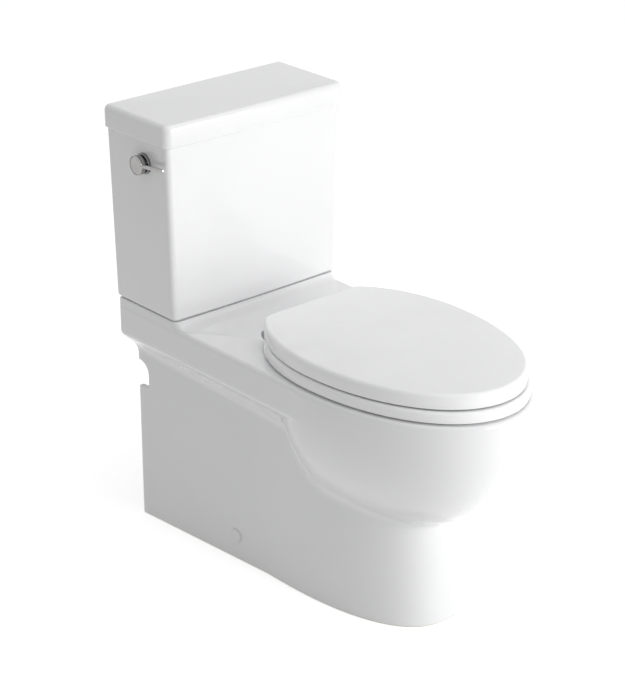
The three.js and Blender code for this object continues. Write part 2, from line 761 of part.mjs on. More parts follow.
function rimChannel() {
  const at = (z) => oval(basinHalfWidth, basinLength, BASIN_REAR_LENGTH, z);
  return loft([at(basinTop - TOUCH_GAP), at(RIM_HEIGHT - RIM_TOP_WALL)]);
}

// The trapway from the basin over the weir to the outlet, with the given wall
function trapway(wall, endWall, end) {
  const startY = -RIM_CENTRE + TRAP_START_BEHIND_CENTRE;
  const weirY = -RIM_CENTRE + WEIR_BEHIND_CENTRE;
  const rise = TRAP_RISE_SHARES.map(([back, up]) => ({
    y: startY + back * (weirY - startY),
    z: TRAP_START_HEIGHT + up * (WEIR_HEIGHT - TRAP_START_HEIGHT),
    radius: TRAP_RADIUS + wall,
  }));
  const fall = TRAP_FALL_SHARES.map(([back, down]) => ({
    y: weirY + back * TRAP_FALL_LENGTH,
    z: WEIR_HEIGHT + down * (OUTLET_HEIGHT - WEIR_HEIGHT),
    radius: (TRAP_RADIUS + wall) * (1 - back) + (OUTLET_RADIUS + endWall) * back,
  }));
  return pipe([...rise, ...fall, { y: end, z: OUTLET_HEIGHT, radius: OUTLET_RADIUS + endWall }]);
}

// Rounded rectangle in plan; the front edge can bow outwards
function roundedPlan(half, front, rear, frontRadius, rearRadius, z, bow = 0) {
  const corner = (cx, cy, radius, from) => Array.from({ length: ROUND_STEPS + 1 }, (_, i) => {
    const turn = from + (Math.PI / 2) * (i / ROUND_STEPS);
    return [cx + radius * Math.cos(turn), cy + radius * Math.sin(turn), z];
  });
  const span = half - frontRadius;
  const bowed = bow > 0
    ? BOW_SHARES.map((share) => [share * span, front - bow * (1 - share ** 2), z])
    : [];
  return [
    ...corner(half - rearRadius, rear - rearRadius, rearRadius, 0),
    ...corner(-half + rearRadius, rear - rearRadius, rearRadius, Math.PI / 2),
    ...corner(-half + frontRadius, front + frontRadius, frontRadius, Math.PI),
    ...bowed,
    ...corner(half - frontRadius, front + frontRadius, frontRadius, -Math.PI / 2),
  ];
}

function tankPlatform() {
  const half = deckHalfWidth - PLATFORM_HAIR;
  const rear = DECK_REAR - PLATFORM_HAIR;
  const front = -TANK_FRONT + TANK_FRONT_TAPER;
  const level = (z, reach, inset) => roundedPlan(
    half - inset,
    front - reach * PLATFORM_RAMP + inset,
    rear - inset,
    TANK_FRONT_RADIUS + reach * PLATFORM_RAMP - inset,
    SKIRT_CORNER_RADIUS,
    z,
  );
  const rows = [level(RIM_HEIGHT - DECK_WALL, 1, 0)];
  RAMP_SHARES.forEach(([up, reach]) => rows.push(level(RIM_HEIGHT + up * PLATFORM_HEIGHT, reach, 0)));
  rows.push(level(platformTop, 0, PLATFORM_EDGE));
  return loft(rows);
}

function supplyNotch() {
  const rear = SKIRT_REAR + OVERRUN;
  const deep = SKIRT_REAR - NOTCH_DEPTH;
  const top = NOTCH_FLOOR_HEIGHT + NOTCH_HEIGHT;
  const arc = Array.from({ length: ROUND_STEPS + 1 }, (_, i) => {
    const turn = (Math.PI / 2) * (i / ROUND_STEPS);
    return [
      deep + NOTCH_CORNER_RADIUS * (1 - Math.cos(turn)),
      top - NOTCH_CORNER_RADIUS * (1 - Math.sin(turn)),
    ];
  });
  const outline = [[deep, NOTCH_FLOOR_HEIGHT], ...arc, [rear, top], [rear, NOTCH_FLOOR_HEIGHT]];
  return pulledAlongX(outline, -deckHalfWidth, deckHalfWidth);
}

// Where a floor fixing meets the skirt: place and outward direction in plan
const fixingY = -FIXING_Y;
const wallAt = (y) => castTo((x) => bowlField(x, y, FIXING_HEIGHT), 0, y, 1, 0, 0, DECK_REAR * 2);
const fixingX = wallAt(fixingY);
const fixingLean = Math.atan2(wallAt(fixingY + CAP_RADIUS) - wallAt(fixingY - CAP_RADIUS), CAP_RADIUS * 2);

// Tilted square to the skirt's face, which leans in towards the top
function squareToSkirt(geometry) {
  return geometry.rotateY(-Math.atan(SIDE_LEAN_SHARE)).translate(0, 0, FIXING_HEIGHT);
}

function placedAtFixing(geometry, side) {
  const placed = geometry.rotateZ(side > 0 ? -fixingLean : Math.PI + fixingLean);
  return placed.translate(side * fixingX, fixingY, 0);
}

function bowl() {
  const skirtHalf = skirtRearHalfWidth - CHINA_WALL;
  let body = cut(bowlShell(), skirtHollow(), deckPocket());
  const ductRear = FLUSH_Y + INLET_RADIUS;
  const ductFront = -RIM_CENTRE + BASIN_REAR_LENGTH - OVERRUN;
  const across = (x) => bowlField(x, 0, OUTLET_HEIGHT);
  const wallAtCross = castTo(across, 0, 0, 1, 0, -CHINA_WALL / 2, skirtHalf * 2);
  body = join(
    body,
    basin(BASIN_WALL),
    trapway(TRAP_WALL, OUTLET_WALL, outletEnd),
    box(-wallAtCross, wallAtCross, -CROSS_WALL / 2, CROSS_WALL / 2, 0, CROSS_WALL_HEIGHT),
    box(
      -DUCT_HALF_WIDTH - DUCT_WALL, DUCT_HALF_WIDTH + DUCT_WALL,
      -DECK_POCKET_FRONT - OVERRUN, ductRear + DUCT_WALL,
      ductFloor - DUCT_WALL, deckUnderside + OVERRUN,
    ),
    disc(WELL_RADIUS + DECK_WALL, ductFloor - DUCT_WALL, deckUnderside + OVERRUN, FINE_SIDES)
      .translate(FLUSH_X, FLUSH_Y, 0),
    tankPlatform(),
  );
  const lands = [-1, 1].map((side) => disc(LAND_RADIUS, RIM_HEIGHT, platformTop + LAND_HEIGHT)
    .translate(side * tankBoltX, FLUSH_Y, 0));
  body = join(body, ...lands);
  body = cut(
    body,
    basin(0),
    trapway(0, 0, outletEnd + OVERRUN),
    rimChannel(),
    box(-DUCT_HALF_WIDTH, DUCT_HALF_WIDTH, ductFront, ductRear, ductFloor, ductFloor + DUCT_HEIGHT),
    disc(INLET_RADIUS, ductFloor + TOUCH_GAP, RIM_HEIGHT, FINE_SIDES).translate(FLUSH_X, FLUSH_Y, 0),
    disc(WELL_RADIUS, wellFloor, platformTop + OVERRUN, FINE_SIDES).translate(FLUSH_X, FLUSH_Y, 0),
    supplyNotch(),
  );
  body = join(body, ovalBand(RIM_LIP_WALL, basinTop + TOUCH_GAP, RIM_HEIGHT - RIM_TOP_WALL / 2));
  const through = (radius, x, y) => disc(radius, ductFloor - DUCT_WALL, platformTop + OVERRUN * 2)
    .translate(x, y, 0);
  body = cut(
    body,
    ovalBand(0, rimBandBottom, RIM_HEIGHT + OVERRUN),
    through(FILL_HOLE_RADIUS, fillX, FILL_Y),
    ...[-1, 1].flatMap((side) => [
      through(TANK_BOLT_HOLE_RADIUS, side * tankBoltX, FLUSH_Y),
      through(SEAT_BOLT_RADIUS + RUN_GAP * 2, (side * HINGE_BOLT_SPACING) / 2, -HINGE_Y),
      placedAtFixing(
        squareToSkirt(alongX(disc(SIDE_SCREW_RADIUS + SLACK / 2, -CHINA_WALL * 2, CHINA_WALL))),
        side,
      ),
    ]),
  );
  return toGeometry(body);
}

// Tank
function tankPlan(z, inset) {
  const share = (z - tankBase) / TANK_HEIGHT;
  const half = tankBaseHalfWidth + (tankTopHalfWidth - tankBaseHalfWidth) * share;
  return roundedPlan(
    half - inset,
    -TANK_FRONT + TANK_FRONT_TAPER * (1 - share) + inset,
    tankRear - inset,
    TANK_FRONT_RADIUS - inset,
    TANK_REAR_RADIUS - inset,
    z,
    TANK_FRONT_BOW,
  );
}

function roundedFoot(radius, plan, base) {
  return ROUND_SHARES.map((share) => {
    const across = radius * share;
    return plan(base + radius - Math.sqrt(radius ** 2 - across ** 2), radius - across);
  });
}

function tank() {
  const outer = loft([...roundedFoot(TANK_BASE_RADIUS, tankPlan, tankBase), tankPlan(tankTop, 0)]);
  const insidePlan = (z, inset) => tankPlan(z, TANK_WALL + inset / 2);
  const inner = loft([
    ...roundedFoot(TANK_BASE_RADIUS / 2, insidePlan, tankFloorTop),
    tankPlan(tankTop + OVERRUN, TANK_WALL),
  ]);
  const hole = (radius, x, y, sides) => disc(radius, tankBase - OVERRUN, tankFloorTop + OVERRUN, sides)
    .translate(x, y, 0);
  return toGeometry(cut(
    outer,
    inner,
    hole(VALVE_SHANK_RADIUS + SLACK, FLUSH_X, FLUSH_Y, FINE_SIDES),
    hole(FILL_SHANK_RADIUS + SLACK, fillX, FILL_Y, SIDES),
    hole(TANK_BOLT_HOLE_RADIUS, -tankBoltX, FLUSH_Y, SIDES),
    hole(TANK_BOLT_HOLE_RADIUS, tankBoltX, FLUSH_Y, SIDES),
    alongX(disc(LEVER_THREAD_RADIUS + RUN_GAP, -TANK_WALL, TANK_WALL * 2, FINE_SIDES))
      .translate(-leverWall, LEVER_Y, leverZ),
  ));
}

function lidPlan(z, inset) {
  return roundedPlan(
    tankTopHalfWidth + LID_OVERHANG - inset,
    -TANK_FRONT - LID_OVERHANG + inset,
    DECK_REAR - inset,
    TANK_FRONT_RADIUS + LID_OVERHANG - inset,
    TANK_REAR_RADIUS + TANK_REAR_INSET - inset,
    z,
    TANK_FRONT_BOW,
  );
}

function tankLid() {
  const top = lidBase + LID_HEIGHT;
  const crest = ROUND_SHARES.map((share) => {
    const rise = LID_EDGE_RADIUS * share;
    const inset = LID_EDGE_RADIUS - Math.sqrt(LID_EDGE_RADIUS ** 2 - rise ** 2);
    return lidPlan(top - LID_EDGE_RADIUS + rise, inset);
  });
  const body = loft([...roundedFoot(LID_FOOT_RADIUS, lidPlan, lidBase), ...crest]);
  const rib = (z) => tankPlan(tankTop, TANK_WALL + SLACK).map(([x, y]) => [x, y, z]);
  const recess = (z) => roundedPlan(
    tankTopHalfWidth + LID_OVERHANG - LID_RIM,
    -TANK_FRONT - LID_OVERHANG + LID_RIM,
    DECK_REAR - LID_RIM,
    TANK_REAR_RADIUS / 2,
    TANK_REAR_RADIUS / 2,
    z,
  );
  return toGeometry(cut(
    join(body, loft([rib(lidBase - LID_RIB_DROP), rib(lidBase + LID_FOOT_RADIUS * 2)])),
    loft([recess(lidBase - LID_RIB_DROP - OVERRUN), recess(top - LID_TOP_WALL)]),
  ));
}

// Seat
const hingeY = -HINGE_Y;
const hingeBoltX = HINGE_BOLT_SPACING / 2;
const postInner = hingeBoltX - POST_WIDTH / 2;
const postOuter = hingeBoltX + POST_WIDTH / 2;
const ringLugInner = postOuter + TOUCH_GAP;
const ringLugOuter = ringLugInner + RING_LUG_WIDTH;
const coverLugOuter = postInner - TOUCH_GAP;
const coverLugInner = coverLugOuter - COVER_LUG_WIDTH;

function ringOuterField(x, y) {
  const reach = y < -SEAT_CENTRE ? ringLength : RING_REAR_LENGTH;
  const around = ovalField(x, y + SEAT_CENTRE, ringHalfWidth, reach, SEAT_OUTLINE_POWER_SHARE);
  return blendMax(around, y + HINGE_Y + RING_TO_HINGE, RING_CORNER_BLEND);
}

function ringInnerField(x, y) {
  const reach = y < -SEAT_CENTRE ? ringInnerLength : RING_INNER_REAR_LENGTH;
  return ovalField(x, y + SEAT_CENTRE, ringInnerHalfWidth, reach, SEAT_OUTLINE_POWER_SHARE);
}

function coverField(x, y) {
  const reach = y < -SEAT_CENTRE ? coverLength : COVER_REAR_LENGTH;
  const around = ovalField(x, y + SEAT_CENTRE, coverHalfWidth, reach, SEAT_OUTLINE_POWER_SHARE);
  return blendMax(around, y + HINGE_Y - COVER_BEHIND_HINGE, COVER_CORNER_BLEND);
}

function seatTurn(step) {
  return -Math.PI / 2 + (2 * Math.PI * step) / SEAT_STEPS;
}

function seatPoint(field, turn, value) {
  const far = ringLength * 2;
  const reach = castTo(field, 0, -SEAT_CENTRE, Math.cos(turn), Math.sin(turn), value, far);
  return [reach * Math.cos(turn), -SEAT_CENTRE + reach * Math.sin(turn)];
}

// Middle of the ring at a share of the way round from the front tip
function ringMiddle(share) {
  const turn = seatTurn(share * SEAT_STEPS);
  const outer = seatPoint(ringOuterField, turn, 0);
  const inner = seatPoint(ringInnerField, turn, 0);
  return [(outer[0] + inner[0]) / 2, (outer[1] + inner[1]) / 2];
}

function seatRingBand() {
  const corner = RING_EDGE * (1 - Math.SQRT1_2);
  const grooveRoof = ringBase + RING_GROOVE_DEPTH;
  const innerTop = ringTop - RING_DISH;
  const section = [
    [ringOuterField, -RING_FOOT_EDGE, ringBase],
    [ringOuterField, 0, ringBase + RING_FOOT_EDGE],
    [ringOuterField, 0, ringTop - RING_EDGE],
    [ringOuterField, -corner, ringTop - corner],
    [ringOuterField, -RING_EDGE, ringTop],
    [ringInnerField, RING_EDGE, innerTop],
    [ringInnerField, corner, innerTop - corner],
    [ringInnerField, 0, innerTop - RING_EDGE],
    [ringInnerField, 0, ringBase + RING_FOOT_EDGE],
    [ringInnerField, RING_FOOT_EDGE, ringBase],
    [ringInnerField, RING_GROOVE_WALL, ringBase],
    [ringInnerField, RING_GROOVE_WALL, grooveRoof],
    [ringOuterField, -RING_GROOVE_WALL, grooveRoof],
    [ringOuterField, -RING_GROOVE_WALL, ringBase],
  ];
  return looped(Array.from({ length: SEAT_STEPS }, (_, step) => section.map(([field, value, z]) => {
    const [x, y] = seatPoint(field, seatTurn(step), value);
    return [x, y, z];
  })));
}

// A barrel round the hinge axis with a tongue to what it carries; outline in [y, z]
function hingeLug(x0, x1, tongue) {
  const barrel = alongX(disc(HINGE_BARREL_RADIUS, x0, x1)).translate(0, hingeY, hingeZ);
  return join(barrel, pulledAlongX(tongue, x0, x1));
}

function hingeBore(x0, x1) {
  return alongX(disc(HINGE_PIN_RADIUS + RUN_GAP, x0 - OVERRUN, x1 + OVERRUN)).translate(0, hingeY, hingeZ);
}

function mirroredX(geometry) {
  const mirrored = geometry.clone().scale(-1, 1, 1);
  return closed(mirrored);
}

function bothSides(geometry) {
  return [geometry, mirroredX(geometry)];
}

function seatRing() {
  const reach = hingeY - RING_TO_HINGE - RING_GROOVE_WALL / 2;
  const tongue = [
    [reach, ringBase + RING_FOOT_EDGE],
    [hingeY, hingeZ - HINGE_BARREL_RADIUS],
    [hingeY, hingeZ + HINGE_BARREL_RADIUS / 2],
    [reach, ringTop - RING_EDGE / 2],
  ];
  const lug = toGeometry(hingeLug(ringLugInner, ringLugOuter, tongue));
  const sockets = RING_BUMPER_SHARES.map((share) => {
    const [x, y] = ringMiddle(share);
    const roof = ringBase + RING_GROOVE_DEPTH;
    return disc(BUMPER_STEM_RADIUS + RUN_GAP, roof - OVERRUN, roof + BUMPER_STEM, SMALL_SIDES)
      .translate(x, y, 0);
  });
  const bore = hingeBore(ringLugInner, ringLugOuter);
  return toGeometry(cut(join(seatRingBand(), ...bothSides(lug)), ...bothSides(bore), ...sockets));
}

function ringBumper(share) {
  const [x, y] = ringMiddle(share);
  const roof = ringBase + RING_GROOVE_DEPTH - TOUCH_GAP;
  const foot = RIM_HEIGHT + TOUCH_GAP;
  return turned([
    [0, foot],
    [BUMPER_RADIUS - RING_FOOT_EDGE / 2, foot],
    [BUMPER_RADIUS, ringBase],
    [BUMPER_RADIUS, roof],
    [BUMPER_STEM_RADIUS, roof],
    [BUMPER_STEM_RADIUS, roof + BUMPER_STEM],
    [0, roof + BUMPER_STEM],
  ], SMALL_SIDES).translate(x, y, 0);
}

function coverRows(inset, base, top, foot) {
  const ring = (value, z) => Array.from({ length: SEAT_STEPS }, (_, step) => {
    const [x, y] = seatPoint(coverField, seatTurn(step), -value);
    return [x, y, z];
  });
  const corner = COVER_EDGE * (1 - Math.SQRT1_2);
  const brow = ring(inset + COVER_EDGE, top);
  const crown = CROWN_SHARES.map((share) => brow.map(([x, y]) => [
    x * share,
    -SEAT_CENTRE + (y + SEAT_CENTRE) * share,
    top + COVER_CROWN * (1 - share ** 2),
  ]));
  return [
    ring(inset + foot, base),
    ring(inset, base + foot),
    ring(inset, top - COVER_EDGE),
    ring(inset + corner, top - corner),
    brow,
    ...crown,
  ];
}

function coverBumperPlaces() {
  return COVER_BUMPER_SHARES.map(ringMiddle);
}

// Height of the ring's top under a bumper of the cover
const bumperRest = ringTop - RING_DISH / 2 + RING_FOOT_EDGE * BUMPER_SINK_SHARE;
const coverBossBase = coverBase + COVER_FOOT_EDGE;

function seatCover() {
  const shell = cut(
    loft(coverRows(0, coverBase, coverTop, COVER_FOOT_EDGE)),
    loft(coverRows(COVER_WALL, coverBase - OVERRUN, coverTop - COVER_WALL, 0)),
  );
  const back = hingeY + COVER_BEHIND_HINGE;
  const front = hingeY - HINGE_BARREL_RADIUS;
  const tongue = [
    [front, hingeZ],
    [back - COVER_FOOT_EDGE, hingeZ],
    [back - COVER_FOOT_EDGE, coverTop - COVER_EDGE],
    [front, coverTop - COVER_EDGE],
  ];
  const lug = toGeometry(hingeLug(coverLugInner, coverLugOuter, tongue));
  const bosses = coverBumperPlaces().map(([x, y]) => (
    disc(COVER_BOSS_RADIUS, coverBossBase, coverTop - COVER_WALL / 2, SMALL_SIDES).translate(x, y, 0)));
  const stemRadius = COVER_BUMPER_STEM_RADIUS + RUN_GAP;
  const stemTop = coverBossBase + BUMPER_STEM;
  const sockets = coverBumperPlaces().map(([x, y]) => (
    disc(stemRadius, coverBossBase - OVERRUN, stemTop, SMALL_SIDES).translate(x, y, 0)));
  const bore = hingeBore(coverLugInner, coverLugOuter);
  return toGeometry(cut(join(shell, ...bothSides(lug), ...bosses), ...bothSides(bore), ...sockets));
}

function coverBumper([x, y]) {
  const under = coverBossBase - TOUCH_GAP;
  return turned([
    [0, bumperRest],
    [COVER_BUMPER_RADIUS, bumperRest],
    [COVER_BUMPER_RADIUS, under],
    [COVER_BUMPER_STEM_RADIUS, under],
    [COVER_BUMPER_STEM_RADIUS, under + BUMPER_STEM],
    [0, under + BUMPER_STEM],
  ], SMALL_SIDES).translate(x, y, 0);
}

function hingePost(side) {
  const foot = RIM_HEIGHT + TOUCH_GAP;
  const half = POST_DEPTH / 2;
  const waist = HINGE_BARREL_RADIUS;
  const profile = [
    [hingeY - half, foot],
    [hingeY + half, foot],
    [hingeY + half, foot + POST_FOOT_HEIGHT - POST_FLANGE_HEIGHT],
    [hingeY + waist, foot + POST_FOOT_HEIGHT],
    [hingeY + waist, hingeZ],
    [hingeY - waist, hingeZ],
    [hingeY - waist, foot + POST_FOOT_HEIGHT],
    [hingeY - half, foot + POST_FOOT_HEIGHT - POST_FLANGE_HEIGHT],
  ];
  const headBase = RIM_HEIGHT + SEAT_BOLT_HEAD_ABOVE_RIM;
  const headRadius = SEAT_BOLT_HEAD_RADIUS + RUN_GAP;
  const neckRadius = SEAT_BOLT_RADIUS + RUN_GAP;
  const slot = (radius, z0, z1) => join(
    disc(radius, z0, z1).translate(hingeBoltX, hingeY, 0),
    box(hingeBoltX - radius, hingeBoltX + radius, hingeY, hingeY + POST_DEPTH, z0, z1),
  );
  const headSlot = toGeometry(slot(headRadius, headBase, headBase + SEAT_BOLT_HEAD + TOUCH_GAP * 2));
  const neckSlot = toGeometry(slot(neckRadius, foot - OVERRUN, headBase + TOUCH_GAP));
  const post = toGeometry(cut(
    join(
      pulledAlongX(profile, postInner, postOuter),
      alongX(disc(HINGE_BARREL_RADIUS, postInner, postOuter)).translate(0, hingeY, hingeZ),
      disc(POST_FLANGE_RADIUS, foot, foot + POST_FLANGE_HEIGHT).translate(hingeBoltX, hingeY, 0),
    ),
    hingeBore(postInner, postOuter),
    headSlot,
    neckSlot,
  ));
  return side > 0 ? post : mirroredX(post);
}

function hingePin(side) {
  const capStart = ringLugOuter + TOUCH_GAP;
  const pin = alongX(turned([
    [0, coverLugInner],
    [HINGE_PIN_RADIUS, coverLugInner],
    [HINGE_PIN_RADIUS, capStart],
    [HINGE_BARREL_RADIUS, capStart],
    [HINGE_BARREL_RADIUS, capStart + PIN_CAP * (1 - PIN_CAP_EDGE_SHARE)],
    [HINGE_BARREL_RADIUS - PIN_CAP * PIN_CAP_EDGE_SHARE, capStart + PIN_CAP],
    [0, capStart + PIN_CAP],
  ])).translate(0, hingeY, hingeZ);
  return side > 0 ? pin : mirroredX(pin);
}

const seatBoltHeadBase = RIM_HEIGHT + SEAT_BOLT_HEAD_ABOVE_RIM + TOUCH_GAP;
const seatBoltHeadTop = seatBoltHeadBase + SEAT_BOLT_HEAD;

function hingeBolt(side) {
  return turned([
    [0, seatBoltHeadTop - SEAT_BOLT_LENGTH],
    [SEAT_BOLT_RADIUS, seatBoltHeadTop - SEAT_BOLT_LENGTH],
    [SEAT_BOLT_RADIUS, seatBoltHeadBase],
    [SEAT_BOLT_HEAD_RADIUS, seatBoltHeadBase],
    [SEAT_BOLT_HEAD_RADIUS, seatBoltHeadTop],
    [0, seatBoltHeadTop],
  ]).translate(side * hingeBoltX, hingeY, 0);
}

// A washer and a nut held up against the deck's underside
function underDeckWasher(inner, outer, thickness) {
  const top = deckUnderside - TOUCH_GAP;
  return tubeRing(inner, outer, top - thickness, top);
}

function hingeWasher(side) {
  return underDeckWasher(SEAT_BOLT_RADIUS + RUN_GAP, SEAT_WASHER_RADIUS, SEAT_WASHER)
    .translate(side * hingeBoltX, hingeY, 0);
}

function hingeNut(side) {
  const top = deckUnderside - TOUCH_GAP * 2 - SEAT_WASHER;
  return hexNut(SEAT_BOLT_RADIUS + RUN_GAP, SEAT_NUT_RADIUS, top - SEAT_NUT, top)
    .translate(side * hingeBoltX, hingeY, 0);
}

// Trip lever, on the left wall of the tank
function leverEscutcheon() {
  const inner = leverWall + TOUCH_GAP;
  const thick = alongX(turned([
    [LEVER_SHAFT_RADIUS + RUN_GAP, -inner - ESCUTCHEON],
    [ESCUTCHEON_RADIUS - ESCUTCHEON / 2, -inner - ESCUTCHEON],
    [ESCUTCHEON_RADIUS, -inner - ESCUTCHEON / 2],
    [ESCUTCHEON_RADIUS, -inner + ESCUTCHEON],
    [LEVER_THREAD_RADIUS, -inner + ESCUTCHEON],
    [LEVER_THREAD_RADIUS, -inner + LEVER_THREAD_LENGTH],
    [LEVER_SHAFT_RADIUS + RUN_GAP, -inner + LEVER_THREAD_LENGTH],
  ], FINE_SIDES)).translate(0, LEVER_Y, leverZ);
  const wallSide = box(-TOUCH_GAP, ESCUTCHEON * 2, -DECK_REAR, DECK_REAR, -DECK_REAR, DECK_REAR);
  const shank = alongX(disc(LEVER_THREAD_RADIUS, -OVERRUN, ESCUTCHEON * 3, FINE_SIDES)).rotateY(wallLean);
  const wall = toGeometry(cut(wallSide, shank)).rotateY(-wallLean).translate(-leverWall, LEVER_Y, leverZ);
  return toGeometry(cut(thick, wall));
}

function leverNut() {
  const start = -leverWall + TANK_WALL + TOUCH_GAP * 2;
  const inner = LEVER_THREAD_RADIUS + RUN_GAP;
  const nut = alongX(hexNut(inner, LEVER_NUT_RADIUS, start - TOUCH_GAP, start + LEVER_NUT))
    .translate(0, LEVER_Y, leverZ);
  const wallSide = box(-ESCUTCHEON * 2, TOUCH_GAP, -DECK_REAR, DECK_REAR, -DECK_REAR, DECK_REAR)
    .rotateY(-wallLean)
    .translate(-leverWall + TANK_WALL, LEVER_Y, leverZ);
  return toGeometry(cut(nut, wallSide));
}

const leverFace = -leverWall - TOUCH_GAP * 2 - ESCUTCHEON;
const knobInner = leverFace - LEVER_NECK;
const leverInnerEnd = -leverWall + LEVER_THREAD_LENGTH;
const leverShaftEnd = leverInnerEnd + LEVER_HUB * HUB_DEPTH_SHARE;

function leverHandle() {
  const body = alongX(turned([
    [0, knobInner - KNOB],
    [KNOB_RADIUS - KNOB_EDGE * 2, knobInner - KNOB],
    [KNOB_RADIUS, knobInner - KNOB + KNOB_EDGE * 2],
    [KNOB_RADIUS, knobInner - KNOB_EDGE],
    [KNOB_RADIUS - KNOB_EDGE, knobInner],
    [LEVER_NECK_RADIUS, knobInner],
    [LEVER_NECK_RADIUS, leverFace],
    [LEVER_SHAFT_RADIUS, leverFace],
    [LEVER_SHAFT_RADIUS, leverShaftEnd],
    [0, leverShaftEnd],
  ], FINE_SIDES)).translate(0, LEVER_Y, leverZ);
  const lift = THREE.MathUtils.degToRad(LEVER_ROD_LIFT_DEG);
  const grip = alongY(turned([
    [0, 0],
    [LEVER_ROD_RADIUS, 0],
    [LEVER_ROD_RADIUS, LEVER_ROD_LENGTH - KNOB_EDGE],
    [LEVER_ROD_RADIUS - KNOB_EDGE, LEVER_ROD_LENGTH],
    [0, LEVER_ROD_LENGTH],
  ], SMALL_SIDES)).rotateZ(Math.PI).rotateX(-lift);
  return toGeometry(join(body, grip.translate(knobInner - KNOB / 2, LEVER_Y, leverZ)));
}

const strapX = FLUSH_X - STRAP_OFFSET;
const strapY = LEVER_Y + LEVER_ARM_REACH;

function leverArm() {
  const hub = alongX(turned([
    [LEVER_SHAFT_RADIUS + RUN_GAP, leverInnerEnd],
    [LEVER_HUB_RADIUS, leverInnerEnd],
    [LEVER_HUB_RADIUS, leverInnerEnd + LEVER_HUB * HUB_LENGTH_SHARE],
    [0, leverInnerEnd + LEVER_HUB * HUB_LENGTH_SHARE],
    [0, leverShaftEnd + RUN_GAP],
    [LEVER_SHAFT_RADIUS + RUN_GAP, leverShaftEnd + RUN_GAP],
  ])).translate(0, LEVER_Y, leverZ);
  const start = leverInnerEnd + LEVER_HUB;
  const bar = rod([
    [start, LEVER_Y, leverZ],
    ...LEVER_ARM_SHARES.map(([way, out]) => [
      start + (strapX - start) * way,
      LEVER_Y + LEVER_ARM_REACH * out,
      leverZ,
    ]),
    [strapX - LEVER_ARM_TIP, strapY, leverZ],
    [strapX + LEVER_ARM_TIP, strapY, leverZ],
  ], LEVER_ARM_RADIUS, ARM_STEPS);
  return toGeometry(join(hub, bar));
}

// Flush valve
const valveBase = tankFloorTop + SEAL_THICKNESS + TOUCH_GAP * 2;
const valveSeat = valveBase + VALVE_SEAT_HEIGHT;
const pivotZ = valveSeat + PIVOT_ABOVE_SEAT;
const overflowTop = tankTop - OVERFLOW_BELOW_TANK_TOP;
const overflowX = FLUSH_X + OVERFLOW_OFFSET;

function flushValveBody() {
  const shankEnd = tankBase - VALVE_SHANK_BELOW_TANK;
  const seatLip = VALVE_SEAT_RADIUS - VALVE_FLANGE / 2;
  const body = turned([
    [VALVE_BORE_RADIUS, shankEnd],
    [VALVE_SHANK_RADIUS, shankEnd],
    [VALVE_SHANK_RADIUS, valveBase],
    [VALVE_FLANGE_RADIUS, valveBase],
    [VALVE_FLANGE_RADIUS, valveBase + VALVE_FLANGE],
    [VALVE_SEAT_RADIUS, valveBase + VALVE_FLANGE],
    [seatLip, valveSeat],
    [VALVE_BORE_RADIUS, valveSeat],
  ], FINE_SIDES);
  const bridge = VALVE_BORE_RADIUS - SLACK;
  const duct = OVERFLOW_RADIUS / 2;
  const foot = box(
    bridge, OVERFLOW_OFFSET, -OVERFLOW_RADIUS + OVERFLOW_WALL, OVERFLOW_RADIUS - OVERFLOW_WALL,
    valveBase, valveSeat - TOUCH_GAP,
  );
  const tube = disc(OVERFLOW_RADIUS, valveBase, overflowTop).translate(OVERFLOW_OFFSET, 0, 0);
  const ears = box(
    PIVOT_OFFSET - PIVOT_ABOVE_SEAT, OVERFLOW_OFFSET, -PIVOT_EAR_HALF_WIDTH, PIVOT_EAR_HALF_WIDTH,
    valveBase, pivotZ + PIVOT_PIN_RADIUS,
  );
  const pins = alongY(disc(PIVOT_PIN_RADIUS, -PIVOT_HALF_SPAN, PIVOT_HALF_SPAN, SMALL_SIDES))
    .translate(PIVOT_OFFSET, 0, pivotZ);
  const bore = disc(OVERFLOW_RADIUS - OVERFLOW_WALL, valveBase + OVERFLOW_WALL, overflowTop + OVERRUN)
    .translate(OVERFLOW_OFFSET, 0, 0);
  const passageBase = valveBase + OVERFLOW_WALL;
  const passage = box(0, OVERFLOW_OFFSET, -duct, duct, passageBase, valveSeat - OVERFLOW_WALL);
  const main = disc(VALVE_BORE_RADIUS, shankEnd - OVERRUN, valveSeat + OVERRUN, FINE_SIDES);
  return toGeometry(cut(join(body, foot, tube, ears, pins), bore, passage, main))
    .translate(FLUSH_X, FLUSH_Y, 0);
}

function flushValveWasher() {
  const base = tankFloorTop + TOUCH_GAP;
  const inner = VALVE_SHANK_RADIUS + RUN_GAP;
  return tubeRing(inner, VALVE_FLANGE_RADIUS, base, base + SEAL_THICKNESS, FINE_SIDES)
    .translate(FLUSH_X, FLUSH_Y, 0);
}

function flushValveNut() {
  const top = tankBase - TOUCH_GAP;
  return tubeRing(VALVE_SHANK_RADIUS + RUN_GAP, VALVE_NUT_RADIUS, top - VALVE_NUT, top, FINE_SIDES)
    .translate(FLUSH_X, FLUSH_Y, 0);
}

function tankGasket() {
  const top = tankBase - TOUCH_GAP;
  const bottom = wellFloor + TOUCH_GAP;
  const nutBottom = top - VALVE_NUT - TOUCH_GAP;
  const innerRadius = INLET_RADIUS + TOUCH_GAP;
  return turned([
    [innerRadius, bottom],
    [GASKET_RADIUS - SEAL_THICKNESS, bottom],
    [GASKET_RADIUS, bottom + SEAL_THICKNESS],
    [GASKET_RADIUS, top],
    [VALVE_NUT_RADIUS + TOUCH_GAP, top],
    [VALVE_NUT_RADIUS + TOUCH_GAP, nutBottom],
    [innerRadius, nutBottom],
  ], FINE_SIDES).translate(FLUSH_X, FLUSH_Y, 0);
}

